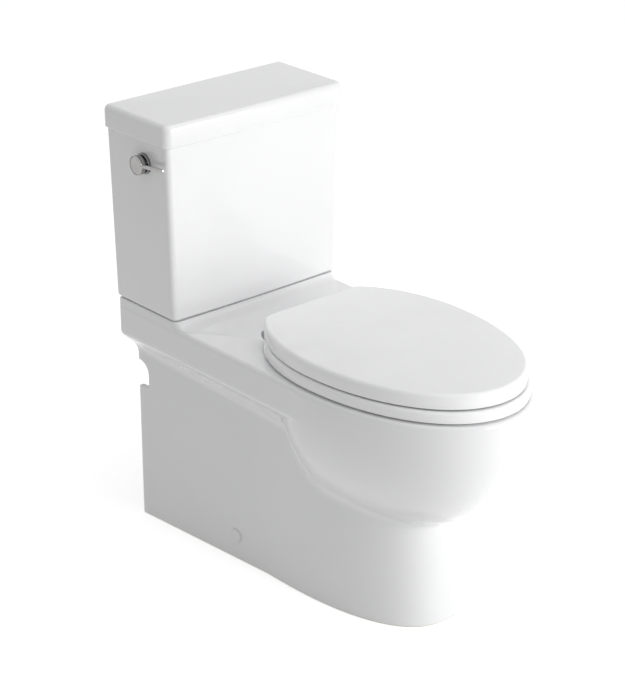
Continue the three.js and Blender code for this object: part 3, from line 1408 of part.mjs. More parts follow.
function flapper() {
  const base = valveSeat + TOUCH_GAP;
  const sheet = base + FLAPPER_SHEET;
  const hookZ = pivotZ + FLAPPER_HOOK_ABOVE_PIVOT;
  const disk = turned([
    [0, base],
    [FLAPPER_RADIUS, base],
    [FLAPPER_RADIUS, sheet],
    [FLAPPER_DOME_RADIUS, sheet],
    ...DOME_SHARES.map(([out, up]) => [FLAPPER_DOME_RADIUS * out, sheet + FLAPPER_DOME * up]),
    [0, sheet + FLAPPER_DOME],
  ], FINE_SIDES);
  const inner = FLAPPER_ARM_INNER;
  const outer = inner + FLAPPER_ARM_WIDTH;
  const arm = (near, far) => join(
    box(FLAPPER_ARM_START, PIVOT_OFFSET, near, far, base, base + FLAPPER_ARM_DEPTH),
    alongY(disc(FLAPPER_ARM_DEPTH / 2, near, far)).translate(PIVOT_OFFSET, 0, pivotZ),
  );
  const hookX = strapX - FLUSH_X + FLAPPER_HOOK_RADIUS * 2;
  const hookY = strapY - FLUSH_Y;
  const postX = hookX - FLAPPER_HOOK_LENGTH;
  const hook = alongX(disc(FLAPPER_HOOK_RADIUS, postX, hookX, SMALL_SIDES)).translate(0, hookY, hookZ);
  const post = box(
    postX - FLAPPER_HOOK_POST, postX + TOUCH_GAP,
    hookY - FLAPPER_HOOK_POST, hookY + FLAPPER_HOOK_POST,
    sheet - TOUCH_GAP, hookZ + FLAPPER_HOOK_POST,
  );
  const pinHole = alongY(disc(PIVOT_PIN_RADIUS + RUN_GAP, -outer * 2, outer * 2, SMALL_SIDES))
    .translate(PIVOT_OFFSET, 0, pivotZ);
  const arms = [arm(inner, outer), arm(-outer, -inner)].map(toGeometry);
  return toGeometry(cut(join(disk, ...arms, post, hook), pinHole)).translate(FLUSH_X, FLUSH_Y, 0);
}

function flapperStrap() {
  const top = leverZ;
  const bottom = pivotZ + FLAPPER_HOOK_ABOVE_PIVOT;
  const half = STRAP_THICKNESS / 2;
  const lowerEye = FLAPPER_HOOK_RADIUS + STRAP_EYE_SLACK;
  const upperEye = LEVER_ARM_RADIUS + RUN_GAP * 2;
  const plate = (radius, z) => alongX(disc(radius, -half, half)).translate(0, 0, z);
  const bore = (radius, z) => alongX(disc(radius, -OVERRUN, OVERRUN, SMALL_SIDES)).translate(0, 0, z);
  const holes = Array.from({ length: STRAP_HOLES }, (_, i) => (
    bore(STRAP_HOLE_RADIUS, bottom + (i + 1) * STRAP_HOLE_PITCH)));
  return toGeometry(cut(
    join(
      box(-half, half, -STRAP_WIDTH / 2, STRAP_WIDTH / 2, bottom, top),
      plate(lowerEye + STRAP_EYE_WALL, bottom),
      plate(upperEye + STRAP_EYE_WALL, top),
    ),
    bore(lowerEye, bottom),
    alongX(disc(upperEye, -OVERRUN, OVERRUN)).translate(0, 0, top),
    ...holes,
  )).translate(strapX, strapY, 0);
}

// Fill valve
const fillCapBase = tankTop - FILL_RISER_BELOW_TANK_TOP + TOUCH_GAP;
const fillCapTop = fillCapBase + FILL_CAP;
const floatArmZ = fillCapTop + FLOAT_ARM_ABOVE_CAP;
const floatArmY = FILL_Y + FLOAT_ARM_PIVOT_INSET;
const floatRodY = FILL_Y - FLOAT_ROD_OFFSET;
const floatArmReach = floatArmY - floatRodY;
const floatArmTilt = Math.atan2(FLOAT_TRAVEL / 2, floatArmReach);
const floatTop = fillCapBase - FLOAT_BELOW_CAP - FLOAT_TRAVEL;

function fillValveBody() {
  const bottom = tankBase - FILL_SHANK_BELOW_TANK;
  const profile = [
    [FILL_BORE_RADIUS, bottom],
    [FILL_SHANK_RADIUS, bottom],
    [FILL_SHANK_RADIUS, valveBase],
    [FILL_FLANGE_RADIUS, valveBase],
    [FILL_FLANGE_RADIUS, valveBase + FILL_FLANGE],
    [FILL_BASE_RADIUS, valveBase + FILL_FLANGE],
    [FILL_BASE_RADIUS, valveBase + FILL_BASE],
    [FILL_RISER_RADIUS, valveBase + FILL_BASE + OVERRUN],
    [FILL_RISER_RADIUS, fillCapBase + FILL_CAP_SOCKET - TOUCH_GAP],
    [FILL_BORE_RADIUS, fillCapBase + FILL_CAP_SOCKET - TOUCH_GAP],
  ];
  return turned(profile).translate(fillX, FILL_Y, 0);
}

function fillValveWasher() {
  const base = tankFloorTop + TOUCH_GAP;
  return tubeRing(FILL_SHANK_RADIUS + RUN_GAP, FILL_FLANGE_RADIUS, base, base + SEAL_THICKNESS)
    .translate(fillX, FILL_Y, 0);
}

function fillValveNut() {
  const top = tankBase - TOUCH_GAP;
  return hexNut(FILL_SHANK_RADIUS + RUN_GAP, FILL_NUT_RADIUS, top - FILL_NUT, top)
    .translate(fillX, FILL_Y, 0);
}

function fillValveCap() {
  const body = turned([
    [0, fillCapBase],
    [FILL_CAP_RADIUS, fillCapBase],
    [FILL_CAP_RADIUS, fillCapTop - FLOAT_WALL],
    [FILL_CAP_RADIUS - FLOAT_WALL, fillCapTop],
    [0, fillCapTop],
  ]);
  const inner = FLOAT_ARM_WIDTH / 2 + RUN_GAP * 2;
  const ear = box(
    inner, inner + FLOAT_EAR,
    FLOAT_ARM_PIVOT_INSET - FLOAT_EAR_DEPTH / 2, FLOAT_ARM_PIVOT_INSET + FLOAT_EAR_DEPTH / 2,
    fillCapTop - FLOAT_WALL, floatArmZ + FLOAT_EAR_CREST,
  );
  const pivotRadius = FLOAT_TRUNNION_RADIUS + RUN_GAP;
  const pivot = alongX(disc(pivotRadius, -FILL_CAP_RADIUS, FILL_CAP_RADIUS, SMALL_SIDES))
    .translate(0, FLOAT_ARM_PIVOT_INSET, floatArmZ);
  const nippleEnd = FILL_CAP_RADIUS + NIPPLE_LENGTH;
  const nipple = alongX(disc(NIPPLE_RADIUS, FILL_CAP_RADIUS - OVERRUN, nippleEnd, SMALL_SIDES))
    .translate(0, 0, fillCapTop - NIPPLE_BELOW_CAP_TOP);
  const socket = disc(FILL_RISER_RADIUS + RUN_GAP, fillCapBase - OVERRUN, fillCapBase + FILL_CAP_SOCKET);
  return toGeometry(cut(join(body, ...bothSides(ear), nipple), pivot, socket)).translate(fillX, FILL_Y, 0);
}

function fillValveFloat() {
  const base = floatTop - FLOAT_HEIGHT;
  const inner = FILL_RISER_RADIUS + SLACK / 2;
  const cup = turned([
    [inner, base],
    [inner + FLOAT_WALL, base],
    [inner + FLOAT_WALL, floatTop - FLOAT_WALL],
    [FLOAT_RADIUS - FLOAT_WALL, floatTop - FLOAT_WALL],
    [FLOAT_RADIUS - FLOAT_WALL, base],
    [FLOAT_RADIUS, base],
    [FLOAT_RADIUS, floatTop],
    [inner, floatTop],
  ], FINE_SIDES);
  const boss = disc(FLOAT_BOSS_RADIUS, floatTop - FLOAT_WALL, floatTop + FLOAT_BOSS, SMALL_SIDES)
    .translate(0, -FLOAT_ROD_OFFSET, 0);
  const socket = disc(
    FLOAT_ROD_RADIUS + RUN_GAP,
    floatTop + FLOAT_BOSS - FLOAT_ROD_SOCKET,
    floatTop + FLOAT_BOSS + OVERRUN,
    SMALL_SIDES,
  ).translate(0, -FLOAT_ROD_OFFSET, 0);
  return toGeometry(cut(join(cup, boss), socket)).translate(fillX, FILL_Y, 0);
}

const armAtRod = floatArmZ - FLOAT_TRAVEL / 2;

function floatRod() {
  const collar = (z) => [
    [FLOAT_ROD_RADIUS, z],
    [FLOAT_ROD_COLLAR_RADIUS, z],
    [FLOAT_ROD_COLLAR_RADIUS, z + FLOAT_ROD_COLLAR],
    [FLOAT_ROD_RADIUS, z + FLOAT_ROD_COLLAR],
  ];
  const bottom = floatTop + FLOAT_BOSS - FLOAT_ROD_SOCKET + TOUCH_GAP;
  const top = armAtRod + FLOAT_ROD_COLLAR_OFF_ARM + FLOAT_ROD_ABOVE_ARM;
  return turned([
    [0, bottom],
    [FLOAT_ROD_RADIUS, bottom],
    ...collar(armAtRod - FLOAT_ROD_COLLAR_OFF_ARM - FLOAT_ROD_COLLAR),
    ...collar(armAtRod + FLOAT_ROD_COLLAR_OFF_ARM),
    [FLOAT_ROD_RADIUS, top],
    [0, top],
  ], SMALL_SIDES).translate(fillX, floatRodY, 0);
}

function floatArm() {
  const half = FLOAT_ARM_WIDTH / 2;
  const thick = FLOAT_ARM_THICKNESS / 2;
  const slotCentre = (floatArmReach + floatArmReach / Math.cos(floatArmTilt)) / 2;
  const slotHalf = FLOAT_SLOT_LENGTH / 2;
  const bar = box(-half, half, -slotCentre - slotHalf - FLOAT_ARM_TIP, FLOAT_ARM_TAIL, -thick, thick);
  const axle = half + RUN_GAP * 2 + FLOAT_EAR;
  const trunnion = alongX(disc(FLOAT_TRUNNION_RADIUS, -axle, axle, SMALL_SIDES));
  const slotWidth = FLOAT_ROD_RADIUS + RUN_GAP;
  const slotStart = -slotCentre - slotHalf;
  const slot = box(-slotWidth, slotWidth, slotStart, -slotCentre + slotHalf, -OVERRUN, OVERRUN);
  return toGeometry(cut(join(bar, trunnion), slot))
    .rotateX(floatArmTilt)
    .translate(fillX, floatArmY, floatArmZ);
}

const nozzleY = FLUSH_Y + REFILL_NOZZLE_OFFSET;
const clipTop = overflowTop + CLIP_ABOVE_OVERFLOW;
const nippleZ = fillCapTop - NIPPLE_BELOW_CAP_TOP;

// The refill tube arches from the fill valve to the clip on the overflow tube
function refillTube() {
  const startX = fillX + FILL_CAP_RADIUS + TOUCH_GAP;
  const endX = overflowX;
  const across = endX - startX;
  const path = [
    [startX, FILL_Y, nippleZ],
    [startX + NIPPLE_LENGTH, FILL_Y, nippleZ],
    [startX + NIPPLE_LENGTH * 3, FILL_Y, nippleZ],
    ...REFILL_SHARES.map(([way, back, up]) => [
      startX + way * across,
      FILL_Y + back * REFILL_BOW,
      nippleZ + up * REFILL_ARCH,
    ]),
    [endX, nozzleY, clipTop + REFILL_RADIUS * 2],
    [endX, nozzleY, clipTop],
    [endX, nozzleY, clipTop - CLIP_SOCKET + TOUCH_GAP],
  ];
  const curve = new THREE.CatmullRomCurve3(path.map((p) => new THREE.Vector3(...p)));
  const section = new THREE.Shape().absarc(0, 0, REFILL_RADIUS, 0, 2 * Math.PI);
  section.holes.push(new THREE.Path().absarc(0, 0, REFILL_BORE_RADIUS, 0, 2 * Math.PI));
  return closed(new THREE.ExtrudeGeometry(section, {
    steps: REFILL_STEPS,
    curveSegments: ROUND_STEPS,
    extrudePath: curve,
    bevelEnabled: false,
  }));
}

function refillClip() {
  const half = CLIP_WIDTH / 2;
  const outside = FLUSH_Y + OVERFLOW_RADIUS;
  const block = box(
    overflowX - half, overflowX + half,
    nozzleY - half, outside + CLIP_LEG,
    overflowTop - CLIP_DEPTH, clipTop,
  );
  const wall = tubeRing(
    OVERFLOW_RADIUS - OVERFLOW_WALL - RUN_GAP,
    OVERFLOW_RADIUS + RUN_GAP,
    overflowTop - CLIP_DEPTH - OVERRUN,
    overflowTop + TOUCH_GAP,
  ).translate(overflowX, FLUSH_Y, 0);
  const socket = disc(REFILL_RADIUS + RUN_GAP * 3, clipTop - CLIP_SOCKET, clipTop + OVERRUN)
    .translate(overflowX, nozzleY, 0);
  const nozzle = disc(REFILL_BORE_RADIUS, overflowTop - CLIP_DEPTH - OVERRUN, clipTop, SMALL_SIDES)
    .translate(overflowX, nozzleY, 0);
  return toGeometry(cut(block, wall, socket, nozzle));
}

// Tank bolts
function tankBolt(side) {
  const headBase = tankFloorTop + TANK_BOLT_SEAL + TOUCH_GAP * 2;
  const bottom = deckUnderside - TANK_WASHER - TANK_NUT - TOUCH_GAP * 3 - BOLT_END;
  return turned([
    [0, bottom],
    [TANK_BOLT_RADIUS, bottom],
    [TANK_BOLT_RADIUS, headBase],
    [TANK_BOLT_HEAD_RADIUS, headBase],
    [TANK_BOLT_HEAD_RADIUS, headBase + TANK_BOLT_HEAD / 2],
    [TANK_BOLT_HEAD_RADIUS / 2, headBase + TANK_BOLT_HEAD],
    [0, headBase + TANK_BOLT_HEAD],
  ]).translate(side * tankBoltX, FLUSH_Y, 0);
}

function tankBoltSeal(side) {
  const base = tankFloorTop + TOUCH_GAP;
  return turned([
    [TANK_BOLT_RADIUS + RUN_GAP, base],
    [TANK_BOLT_SEAL_RADIUS, base],
    [TANK_BOLT_HEAD_RADIUS, base + TANK_BOLT_SEAL],
    [TANK_BOLT_RADIUS + RUN_GAP, base + TANK_BOLT_SEAL],
  ]).translate(side * tankBoltX, FLUSH_Y, 0);
}

function tankBoltWasher(side) {
  return underDeckWasher(TANK_BOLT_RADIUS + RUN_GAP, TANK_WASHER_RADIUS, TANK_WASHER)
    .translate(side * tankBoltX, FLUSH_Y, 0);
}

function tankBoltNut(side) {
  const top = deckUnderside - TANK_WASHER - TOUCH_GAP * 2;
  const bottom = top - TANK_NUT;
  const wing = box(
    -TANK_NUT_WING, TANK_NUT_WING, -TANK_WASHER, TANK_WASHER,
    bottom - TANK_NUT / 2, bottom + TANK_NUT / 2,
  );
  const body = join(disc(TANK_NUT_RADIUS, bottom, top, SMALL_SIDES), wing);
  const bore = disc(TANK_BOLT_RADIUS + RUN_GAP, bottom - TANK_NUT, top + OVERRUN, FINE_SIDES);
  return toGeometry(cut(body, bore)).translate(side * tankBoltX, FLUSH_Y, 0);
}

// Floor fixings; each is drawn with +X outwards from the skirt's face, then turned into place
function floorCap(side) {
  const inner = TOUCH_GAP;
  const cap = squareToSkirt(alongX(turned([
    [CAP_RADIUS - CAP_WALL, inner],
    [CAP_RADIUS, inner],
    [CAP_RADIUS, inner + CAP - CAP_WALL],
    [CAP_RADIUS - CAP_WALL, inner + CAP],
    [0, inner + CAP],
    [0, inner + CAP - CAP_WALL],
    [CAP_RADIUS - CAP_WALL, inner + CAP - CAP_WALL],
  ], FINE_SIDES)));
  return placedAtFixing(cap, side);
}

const bracketFace = -CHINA_WALL * (1 + BRACKET_CLEAR_SHARE);
const floorScrewX = bracketFace - BRACKET_PLATE - (BRACKET_FOOT - BRACKET_PLATE) / 2;

function skirtScrew(side) {
  const screw = squareToSkirt(alongX(turned([
    [0, bracketFace - BRACKET_PLATE],
    [SIDE_SCREW_RADIUS, bracketFace - BRACKET_PLATE],
    [SIDE_SCREW_RADIUS, TOUCH_GAP],
    [SIDE_SCREW_HEAD_RADIUS, TOUCH_GAP],
    [SIDE_SCREW_HEAD_RADIUS, TOUCH_GAP + SIDE_SCREW_HEAD / 2],
    [SIDE_SCREW_HEAD_RADIUS / 2, TOUCH_GAP + SIDE_SCREW_HEAD],
    [0, TOUCH_GAP + SIDE_SCREW_HEAD],
  ])));
  return placedAtFixing(screw, side);
}

function floorBracket(side) {
  const half = BRACKET_WIDTH / 2;
  const foot = bracketFace - BRACKET_FOOT;
  const angle = join(
    box(bracketFace - BRACKET_PLATE, bracketFace, -half, half, 0, BRACKET_HEIGHT),
    box(foot, bracketFace, -half, half, 0, BRACKET_PLATE),
  );
  const solid = cut(
    angle,
    squareToSkirt(alongX(disc(SIDE_SCREW_RADIUS + RUN_GAP, foot, OVERRUN))),
    disc(FLOOR_SCREW_RADIUS + RUN_GAP, -OVERRUN, BRACKET_HEIGHT, SMALL_SIDES).translate(floorScrewX, 0, 0),
  );
  return placedAtFixing(toGeometry(solid), side);
}

function bracketScrew(side) {
  const headBase = BRACKET_PLATE + TOUCH_GAP;
  const screw = turned([
    [0, 0],
    [FLOOR_SCREW_RADIUS, 0],
    [FLOOR_SCREW_RADIUS, headBase],
    [FLOOR_SCREW_HEAD_RADIUS, headBase],
    [FLOOR_SCREW_HEAD_RADIUS, headBase + FLOOR_SCREW_HEAD / 2],
    [FLOOR_SCREW_HEAD_RADIUS / 2, headBase + FLOOR_SCREW_HEAD],
    [0, headBase + FLOOR_SCREW_HEAD],
  ]).translate(floorScrewX, 0, 0);
  return placedAtFixing(screw, side);
}

// Materials
function finish(color, roughness, metalness) {
  return () => new THREE.MeshStandardMaterial({ color, roughness, metalness });
}

const china = finish(0xf3f3f1, 0.12, 0);
const seatPlastic = finish(0xf4f4f2, 0.22, 0);
const capPlastic = finish(0xe9e9e7, 0.35, 0);
const bumperRubber = finish(0xd9d9d5, 0.7, 0);
const hingePlastic = finish(0xf0f0ee, 0.3, 0);
const pinGrey = finish(0x55565a, 0.45, 0);
const chrome = finish(0xd2d4d8, 0.08, 1);
const steel = finish(0xb4b6b8, 0.35, 1);
const brass = finish(0xb8924a, 0.3, 1);
const nylon = finish(0xe2e2dc, 0.5, 0);
const valvePlastic = finish(0x2b2d30, 0.5, 0);
const floatPlastic = finish(0xc9ccd0, 0.45, 0);
const sealRubber = finish(0x1b1b1c, 0.8, 0);
const flapperRubber = finish(0x8c2f28, 0.7, 0);
const strapRubber = finish(0x3b3d40, 0.7, 0);
const refillRubber = finish(0x1f2021, 0.6, 0);

function piece(name, geometry, material) {
  const mesh = new THREE.Mesh(closed(geometry), material());
  mesh.geometry.computeVertexNormals();
  mesh.name = name;
  return mesh;
}

// The same piece on the left and on the right
function pair(name, make, material) {
  return [piece(`${name}_left`, make(-1), material), piece(`${name}_right`, make(1), material)];
}

function numbered(name, places, make, material) {
  return places.map((place, i) => piece(`${name}_${i + 1}`, make(place), material));
}

function assembly() {
  const group = new THREE.Group();
  group.name = 'toilet';
  group.add(
    piece('bowl', bowl(), china),
    piece('tank', tank(), china),
    piece('tank_lid', tankLid(), china),
    piece('seat_ring', seatRing(), seatPlastic),
    piece('seat_lid', seatCover(), seatPlastic),
    ...numbered('ring_bumper', RING_BUMPER_SHARES, ringBumper, bumperRubber),
    ...numbered('lid_bumper', coverBumperPlaces(), coverBumper, bumperRubber),
    ...pair('hinge_post', hingePost, hingePlastic),
    ...pair('hinge_pin', hingePin, pinGrey),
    ...pair('hinge_bolt', hingeBolt, nylon),
    ...pair('hinge_washer', hingeWasher, sealRubber),
    ...pair('hinge_nut', hingeNut, nylon),
    piece('lever_escutcheon', leverEscutcheon(), steel),
    piece('lever_handle', leverHandle(), chrome),
    piece('lever_nut', leverNut(), nylon),
    piece('lever_arm', leverArm(), steel),
    piece('flush_valve_body', flushValveBody(), valvePlastic),
    piece('flush_valve_washer', flushValveWasher(), sealRubber),
    piece('flush_valve_nut', flushValveNut(), valvePlastic),
    piece('tank_gasket', tankGasket(), sealRubber),
    piece('flapper', flapper(), flapperRubber),
    piece('flapper_strap', flapperStrap(), strapRubber),
    piece('fill_valve_body', fillValveBody(), floatPlastic),
    piece('fill_valve_cap', fillValveCap(), valvePlastic),
    piece('fill_valve_float', fillValveFloat(), floatPlastic),
    piece('float_arm', floatArm(), valvePlastic),
    piece('float_rod', floatRod(), steel),
    piece('fill_valve_washer', fillValveWasher(), sealRubber),
    piece('fill_valve_nut', fillValveNut(), nylon),
    piece('refill_tube', refillTube(), refillRubber),
    piece('refill_clip', refillClip(), nylon),
    ...pair('tank_bolt', tankBolt, brass),
    ...pair('tank_bolt_seal', tankBoltSeal, sealRubber),
    ...pair('tank_bolt_washer', tankBoltWasher, brass),
    ...pair('tank_bolt_nut', tankBoltNut, brass),
    ...pair('floor_cap', floorCap, capPlastic),
    ...pair('skirt_screw', skirtScrew, steel),
    ...pair('floor_bracket', floorBracket, nylon),
    ...pair('bracket_screw', bracketScrew, steel),
  );
  return group;
}

export default assembly();
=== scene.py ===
"""The looks of a two-piece floor-standing toilet whose outlet leaves through the back.

Sizes in the shape code are millimetres; meshes and settings are in metres.
The front faces -Y, +Z is up and the origin is on the floor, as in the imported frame.
"""

import math

import bpy
import numpy as np
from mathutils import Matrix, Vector


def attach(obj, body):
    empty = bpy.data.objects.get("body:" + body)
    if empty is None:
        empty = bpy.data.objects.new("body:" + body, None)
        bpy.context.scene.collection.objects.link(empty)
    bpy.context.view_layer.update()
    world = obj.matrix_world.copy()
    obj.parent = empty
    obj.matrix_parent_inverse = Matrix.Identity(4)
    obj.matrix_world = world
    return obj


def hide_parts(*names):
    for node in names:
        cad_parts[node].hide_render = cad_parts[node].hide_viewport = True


bl_info = {
    "name": "Back-outlet toilet",
    "version": (1, 0, 0),
    "blender": (4, 5, 0),
    "location": "3D View > Sidebar > Toilet",
    "description": "Makes the china, the seat, the lever, the fixings and the studio round the packed frame",
    "category": "Add Mesh",
}

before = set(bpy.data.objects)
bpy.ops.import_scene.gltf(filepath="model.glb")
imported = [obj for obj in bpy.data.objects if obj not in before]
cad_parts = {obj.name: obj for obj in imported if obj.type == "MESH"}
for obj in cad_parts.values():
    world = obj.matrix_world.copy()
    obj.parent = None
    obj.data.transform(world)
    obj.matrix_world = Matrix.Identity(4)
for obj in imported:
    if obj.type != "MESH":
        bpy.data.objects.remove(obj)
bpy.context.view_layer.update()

MILLIMETRE = 0.001

# Clearances
TOUCH_GAP = 0.3
RUN_GAP = 0.3
OVERRUN = 4
SLACK = 2.5
ROW_GAP = 1

# Bowl, outside
DECK_REAR = 150
DECK_HALF_WIDTH = 183
DECK_DEPTH = 58
DECK_EDGE_RADIUS = 8
DECK_LOWER_EDGE_SOFTNESS = 7
RIM_HEIGHT = 424
RIM_CENTRE = 335
RIM_HALF_WIDTH = 184
RIM_LENGTH = 303
BELLY_REAR_LENGTH = 150
BELLY_FLOOR_HEIGHT = 186
BELLY_WIDEST_BELOW_RIM = 20
SKIRT_REAR = 136
SKIRT_REAR_HALF_WIDTH = 157
SKIRT_FRONT_HALF_WIDTH = 131
SKIRT_TURN = 190
SKIRT_NOSE = 320
SKIRT_CORNER_RADIUS = 5
SKIRT_FOOT_RADIUS = 3
REAR_STEP_BOTTOM = 347
REAR_STEP_TOP = 358
BLEND = 16
NOTCH_FLOOR_HEIGHT = 259
NOTCH_HEIGHT = 54
NOTCH_DEPTH = 28
NOTCH_CORNER_RADIUS = 26

# Bowl, inside
CHINA_WALL = 12
DECK_WALL = 13
DECK_POCKET_FRONT = 178
BASIN_WALL = 11
BASIN_FLOOR_HEIGHT = 132
BASIN_HALF_WIDTH = 152
BASIN_LENGTH = 268
BASIN_REAR_LENGTH = 126
RIM_LIP_HEIGHT = 28
RIM_LIP_WALL = 9
RIM_TOP_WALL = 13
RIM_BAND_DEPTH = 40
OPENING_HALF_WIDTH = 124
OPENING_LENGTH = 244
OPENING_REAR_LENGTH = 116
DUCT_HALF_WIDTH = 30
DUCT_HEIGHT = 18
DUCT_WALL = 9
WELL_RADIUS = 50
INLET_RADIUS = 32
TRAP_RADIUS = 29
TRAP_WALL = 9
TRAP_START_HEIGHT = 162
TRAP_START_BEHIND_CENTRE = 25
WEIR_HEIGHT = 275
WEIR_BEHIND_CENTRE = 163
TRAP_FALL_LENGTH = 132
OUTLET_HEIGHT = 180
OUTLET_RADIUS = 41
OUTLET_WALL = 10
OUTLET_INSET = 12
CROSS_WALL = 14
CROSS_WALL_HEIGHT = 140

# Tank platform on the bowl
PLATFORM_HEIGHT = 12
PLATFORM_RAMP = 27
PLATFORM_HAIR = 0.2
PLATFORM_EDGE = 2
LAND_RADIUS = 17
LAND_HEIGHT = 2

# Tank and its lid
TANK_HEIGHT = 314.6
TANK_TOP_HALF_WIDTH = 193
TANK_BASE_HALF_WIDTH = 185
TANK_PAST_DECK = 3
LID_REAR_OVERHANG = 3
TANK_INNER_RADIUS = 4
TANK_FRONT = 16
TANK_FRONT_TAPER = 2
TANK_FRONT_RADIUS = 11
TANK_REAR_RADIUS = 8
TANK_BASE_RADIUS = 6
TANK_FRONT_BOW = 3
TANK_WALL = 10
TANK_FLOOR = 12
LID_OVERHANG = 5
LID_HEIGHT = 40
LID_EDGE_RADIUS = 10
LID_FOOT_RADIUS = 2.5
LID_RIM = 26
LID_TOP_WALL = 14
LID_RIB_DROP = 8

# Seat
SEAT_BUMPER_HEIGHT = 3.2
RING_HEIGHT = 19.5
RING_HALF_WIDTH = 176
RING_LENGTH = 287
RING_REAR_LENGTH = 235
RING_INNER_HALF_WIDTH = 114
RING_INNER_LENGTH = 224
RING_INNER_REAR_LENGTH = 116
SEAT_CENTRE = 345
RING_TO_HINGE = 14
RING_EDGE = 7
RING_DISH = 2
RING_FOOT_EDGE = 3.5
RING_GROOVE_WALL = 11
RING_GROOVE_DEPTH = 9
RING_CORNER_BLEND = 30
COVER_GAP = 3
COVER_HALF_WIDTH = 173
COVER_LENGTH = 279
COVER_REAR_LENGTH = 232
COVER_SIDE = 26
COVER_CROWN = 7
COVER_EDGE = 8
COVER_WALL = 5
COVER_BEHIND_HINGE = 3
COVER_CORNER_BLEND = 10
COVER_FOOT_EDGE = 1.5
COVER_BOSS_RADIUS = 8
HINGE_Y = 158
HINGE_ABOVE_RIM = 15.5
HINGE_BOLT_SPACING = 140
HINGE_PIN_RADIUS = 4
HINGE_BARREL_RADIUS = 8.5
POST_WIDTH = 28
POST_DEPTH = 20
POST_FOOT_HEIGHT = 8
POST_FLANGE_RADIUS = 13
POST_FLANGE_HEIGHT = 2.6
POST_EDGE = 1.2
RING_LUG_WIDTH = 17
COVER_LUG_WIDTH = 13
PIN_CAP = 3.5
SEAT_BOLT_RADIUS = 4
SEAT_BOLT_HEAD_RADIUS = 6.8
SEAT_BOLT_HEAD = 4
SEAT_BOLT_HEAD_ABOVE_RIM = 3.6
BUMPER_RADIUS = 9
BUMPER_STEM_RADIUS = 5
BUMPER_STEM = 3
BUMPER_EDGE = 1.4
COVER_BUMPER_RADIUS = 6
COVER_BUMPER_STEM_RADIUS = 3

# Trip lever
LEVER_Y = 48
LEVER_BELOW_TANK_TOP = 40
ESCUTCHEON_RADIUS = 18.5
ESCUTCHEON = 5
LEVER_THREAD_RADIUS = 8.6
LEVER_THREAD_LENGTH = 28
LEVER_SHAFT_RADIUS = 5
LEVER_NECK_RADIUS = 9
LEVER_NECK = 4
KNOB_RADIUS = 17
KNOB = 9.5
KNOB_EDGE = 1
KNOB_DISH = 0.7
LEVER_ROD_RADIUS = 3.5
LEVER_ROD_LENGTH = 72
LEVER_ROD_LIFT = math.radians(6)
LEVER_HUB = 9
LEVER_HUB_SHARE = 0.8

# Holes that the tank and the bowl have in common with their fittings
FLUSH_Y = 80
VALVE_SHANK_RADIUS = 29
FILL_X = 136
FILL_Y = 98
FILL_SHANK_RADIUS = 11.5
FILL_HOLE_RADIUS = 20
FILL_SHANK_BELOW_TANK = 46
TANK_BOLT_X = 83
TANK_BOLT_RADIUS = 4
TANK_BOLT_HOLE_RADIUS = 6
TANK_WASHER = 1.8
TANK_NUT = 8
BOLT_END = 9
SEAT_BOLT_LENGTH = 46

# Floor fixings
FIXING_Y = 111
FIXING_HEIGHT = 45
CAP_RADIUS = 14
CAP = 4.6
CAP_WALL = 1.6
CAP_CROWN = 0.9
SIDE_SCREW_RADIUS = 3

# Threads
THREAD_DEPTH = 0.24
THREAD_PITCH = 1.8
COARSE_THREAD_PITCH = 2.4
THREAD_STEPS_A_TURN = 20
THREAD_SIDES = 4

# Shares: plain ratios of the sizes above, read along each form
NOSE_LEAN_SHARE = 0.08
SIDE_LEAN_SHARE = 0.03
UNDERCUT_SHARE = 1
BELLY_WIDTH_LOSS_SHARE = 0.5
BELLY_WIDTH_POWER = 2.1
BELLY_LENGTH_LOSS_SHARE = 0.37
BELLY_LENGTH_POWER = 1.92
BELLY_FOOT_LOSS_SHARE = 0.1
BELLY_FOOT_POWER = 12
SMALLEST_SHARE = 0.15
SOFT_FOOT_SHARE = 0.3
KNOB_DISH_SHARE = 0.8
SIDE_END_SHARE = 0.985
SEAT_OUTLINE_POWER = 2.05
NOSE_POWER = 2.5
RING_BUMPER_SHARES = (0.14, 0.36, 0.64, 0.86)
COVER_BUMPER_SHARES = (0.08, 0.3, 0.7, 0.92)
# Height above the basin's floor, then half width, length to the front and length to the rear
BASIN_SHARES = (
    (0, 0.14, 0.1, 0.16),
    (0.04, 0.25, 0.17, 0.28),
    (0.15, 0.36, 0.27, 0.36),
    (0.3, 0.5, 0.42, 0.44),
    (0.45, 0.66, 0.6, 0.56),
    (0.62, 0.82, 0.79, 0.74),
    (0.8, 0.94, 0.93, 0.9),
    (1, 1, 1, 1),
)
# Way back, then way up to the weir; way back, then way down to the outlet
TRAP_RISE_SHARES = ((0, 0), (0.25, 0.04), (0.48, 0.22), (0.68, 0.55), (0.84, 0.87), (1, 1))
TRAP_FALL_SHARES = ((0.2, 0.07), (0.38, 0.3), (0.55, 0.65), (0.75, 0.92), (1, 1))
# Height of the platform's ramp, then how far it stands out in front of the tank
RAMP_SHARES = ((0, 1), (0.22, 0.5), (0.5, 0.18), (0.82, 0.02), (1, 0))

# Studio: the floor in millimetres, lamps in metres, and the picture that the camera was fitted to
FLOOR_REACH = 6000
LAMP_AIM = (0, -0.2, 0.4)
KEY_LAMP_PLACE = (1.3, -3.9, 1.35)
KEY_LAMP_SIZE = 2.6
TOP_LAMP_PLACE = (0.2, -0.4, 3.4)
TOP_LAMP_SIZE = 3
VIEW_HEIGHT = 437
SENSOR_WIDTH = 36
PICTURE_HEIGHT = 700
FOCAL_PIXELS = 2144.4

# Colours and roughness of the hidden fittings
CLAY_ROUGHNESS = 0.85
NYLON_COLOUR = (0.7, 0.7, 0.66)
GREY_COLOUR = (0.5, 0.52, 0.55)
BRASS_COLOUR = (0.6, 0.42, 0.17)
BRASS_DARK = (0.3, 0.19, 0.08)

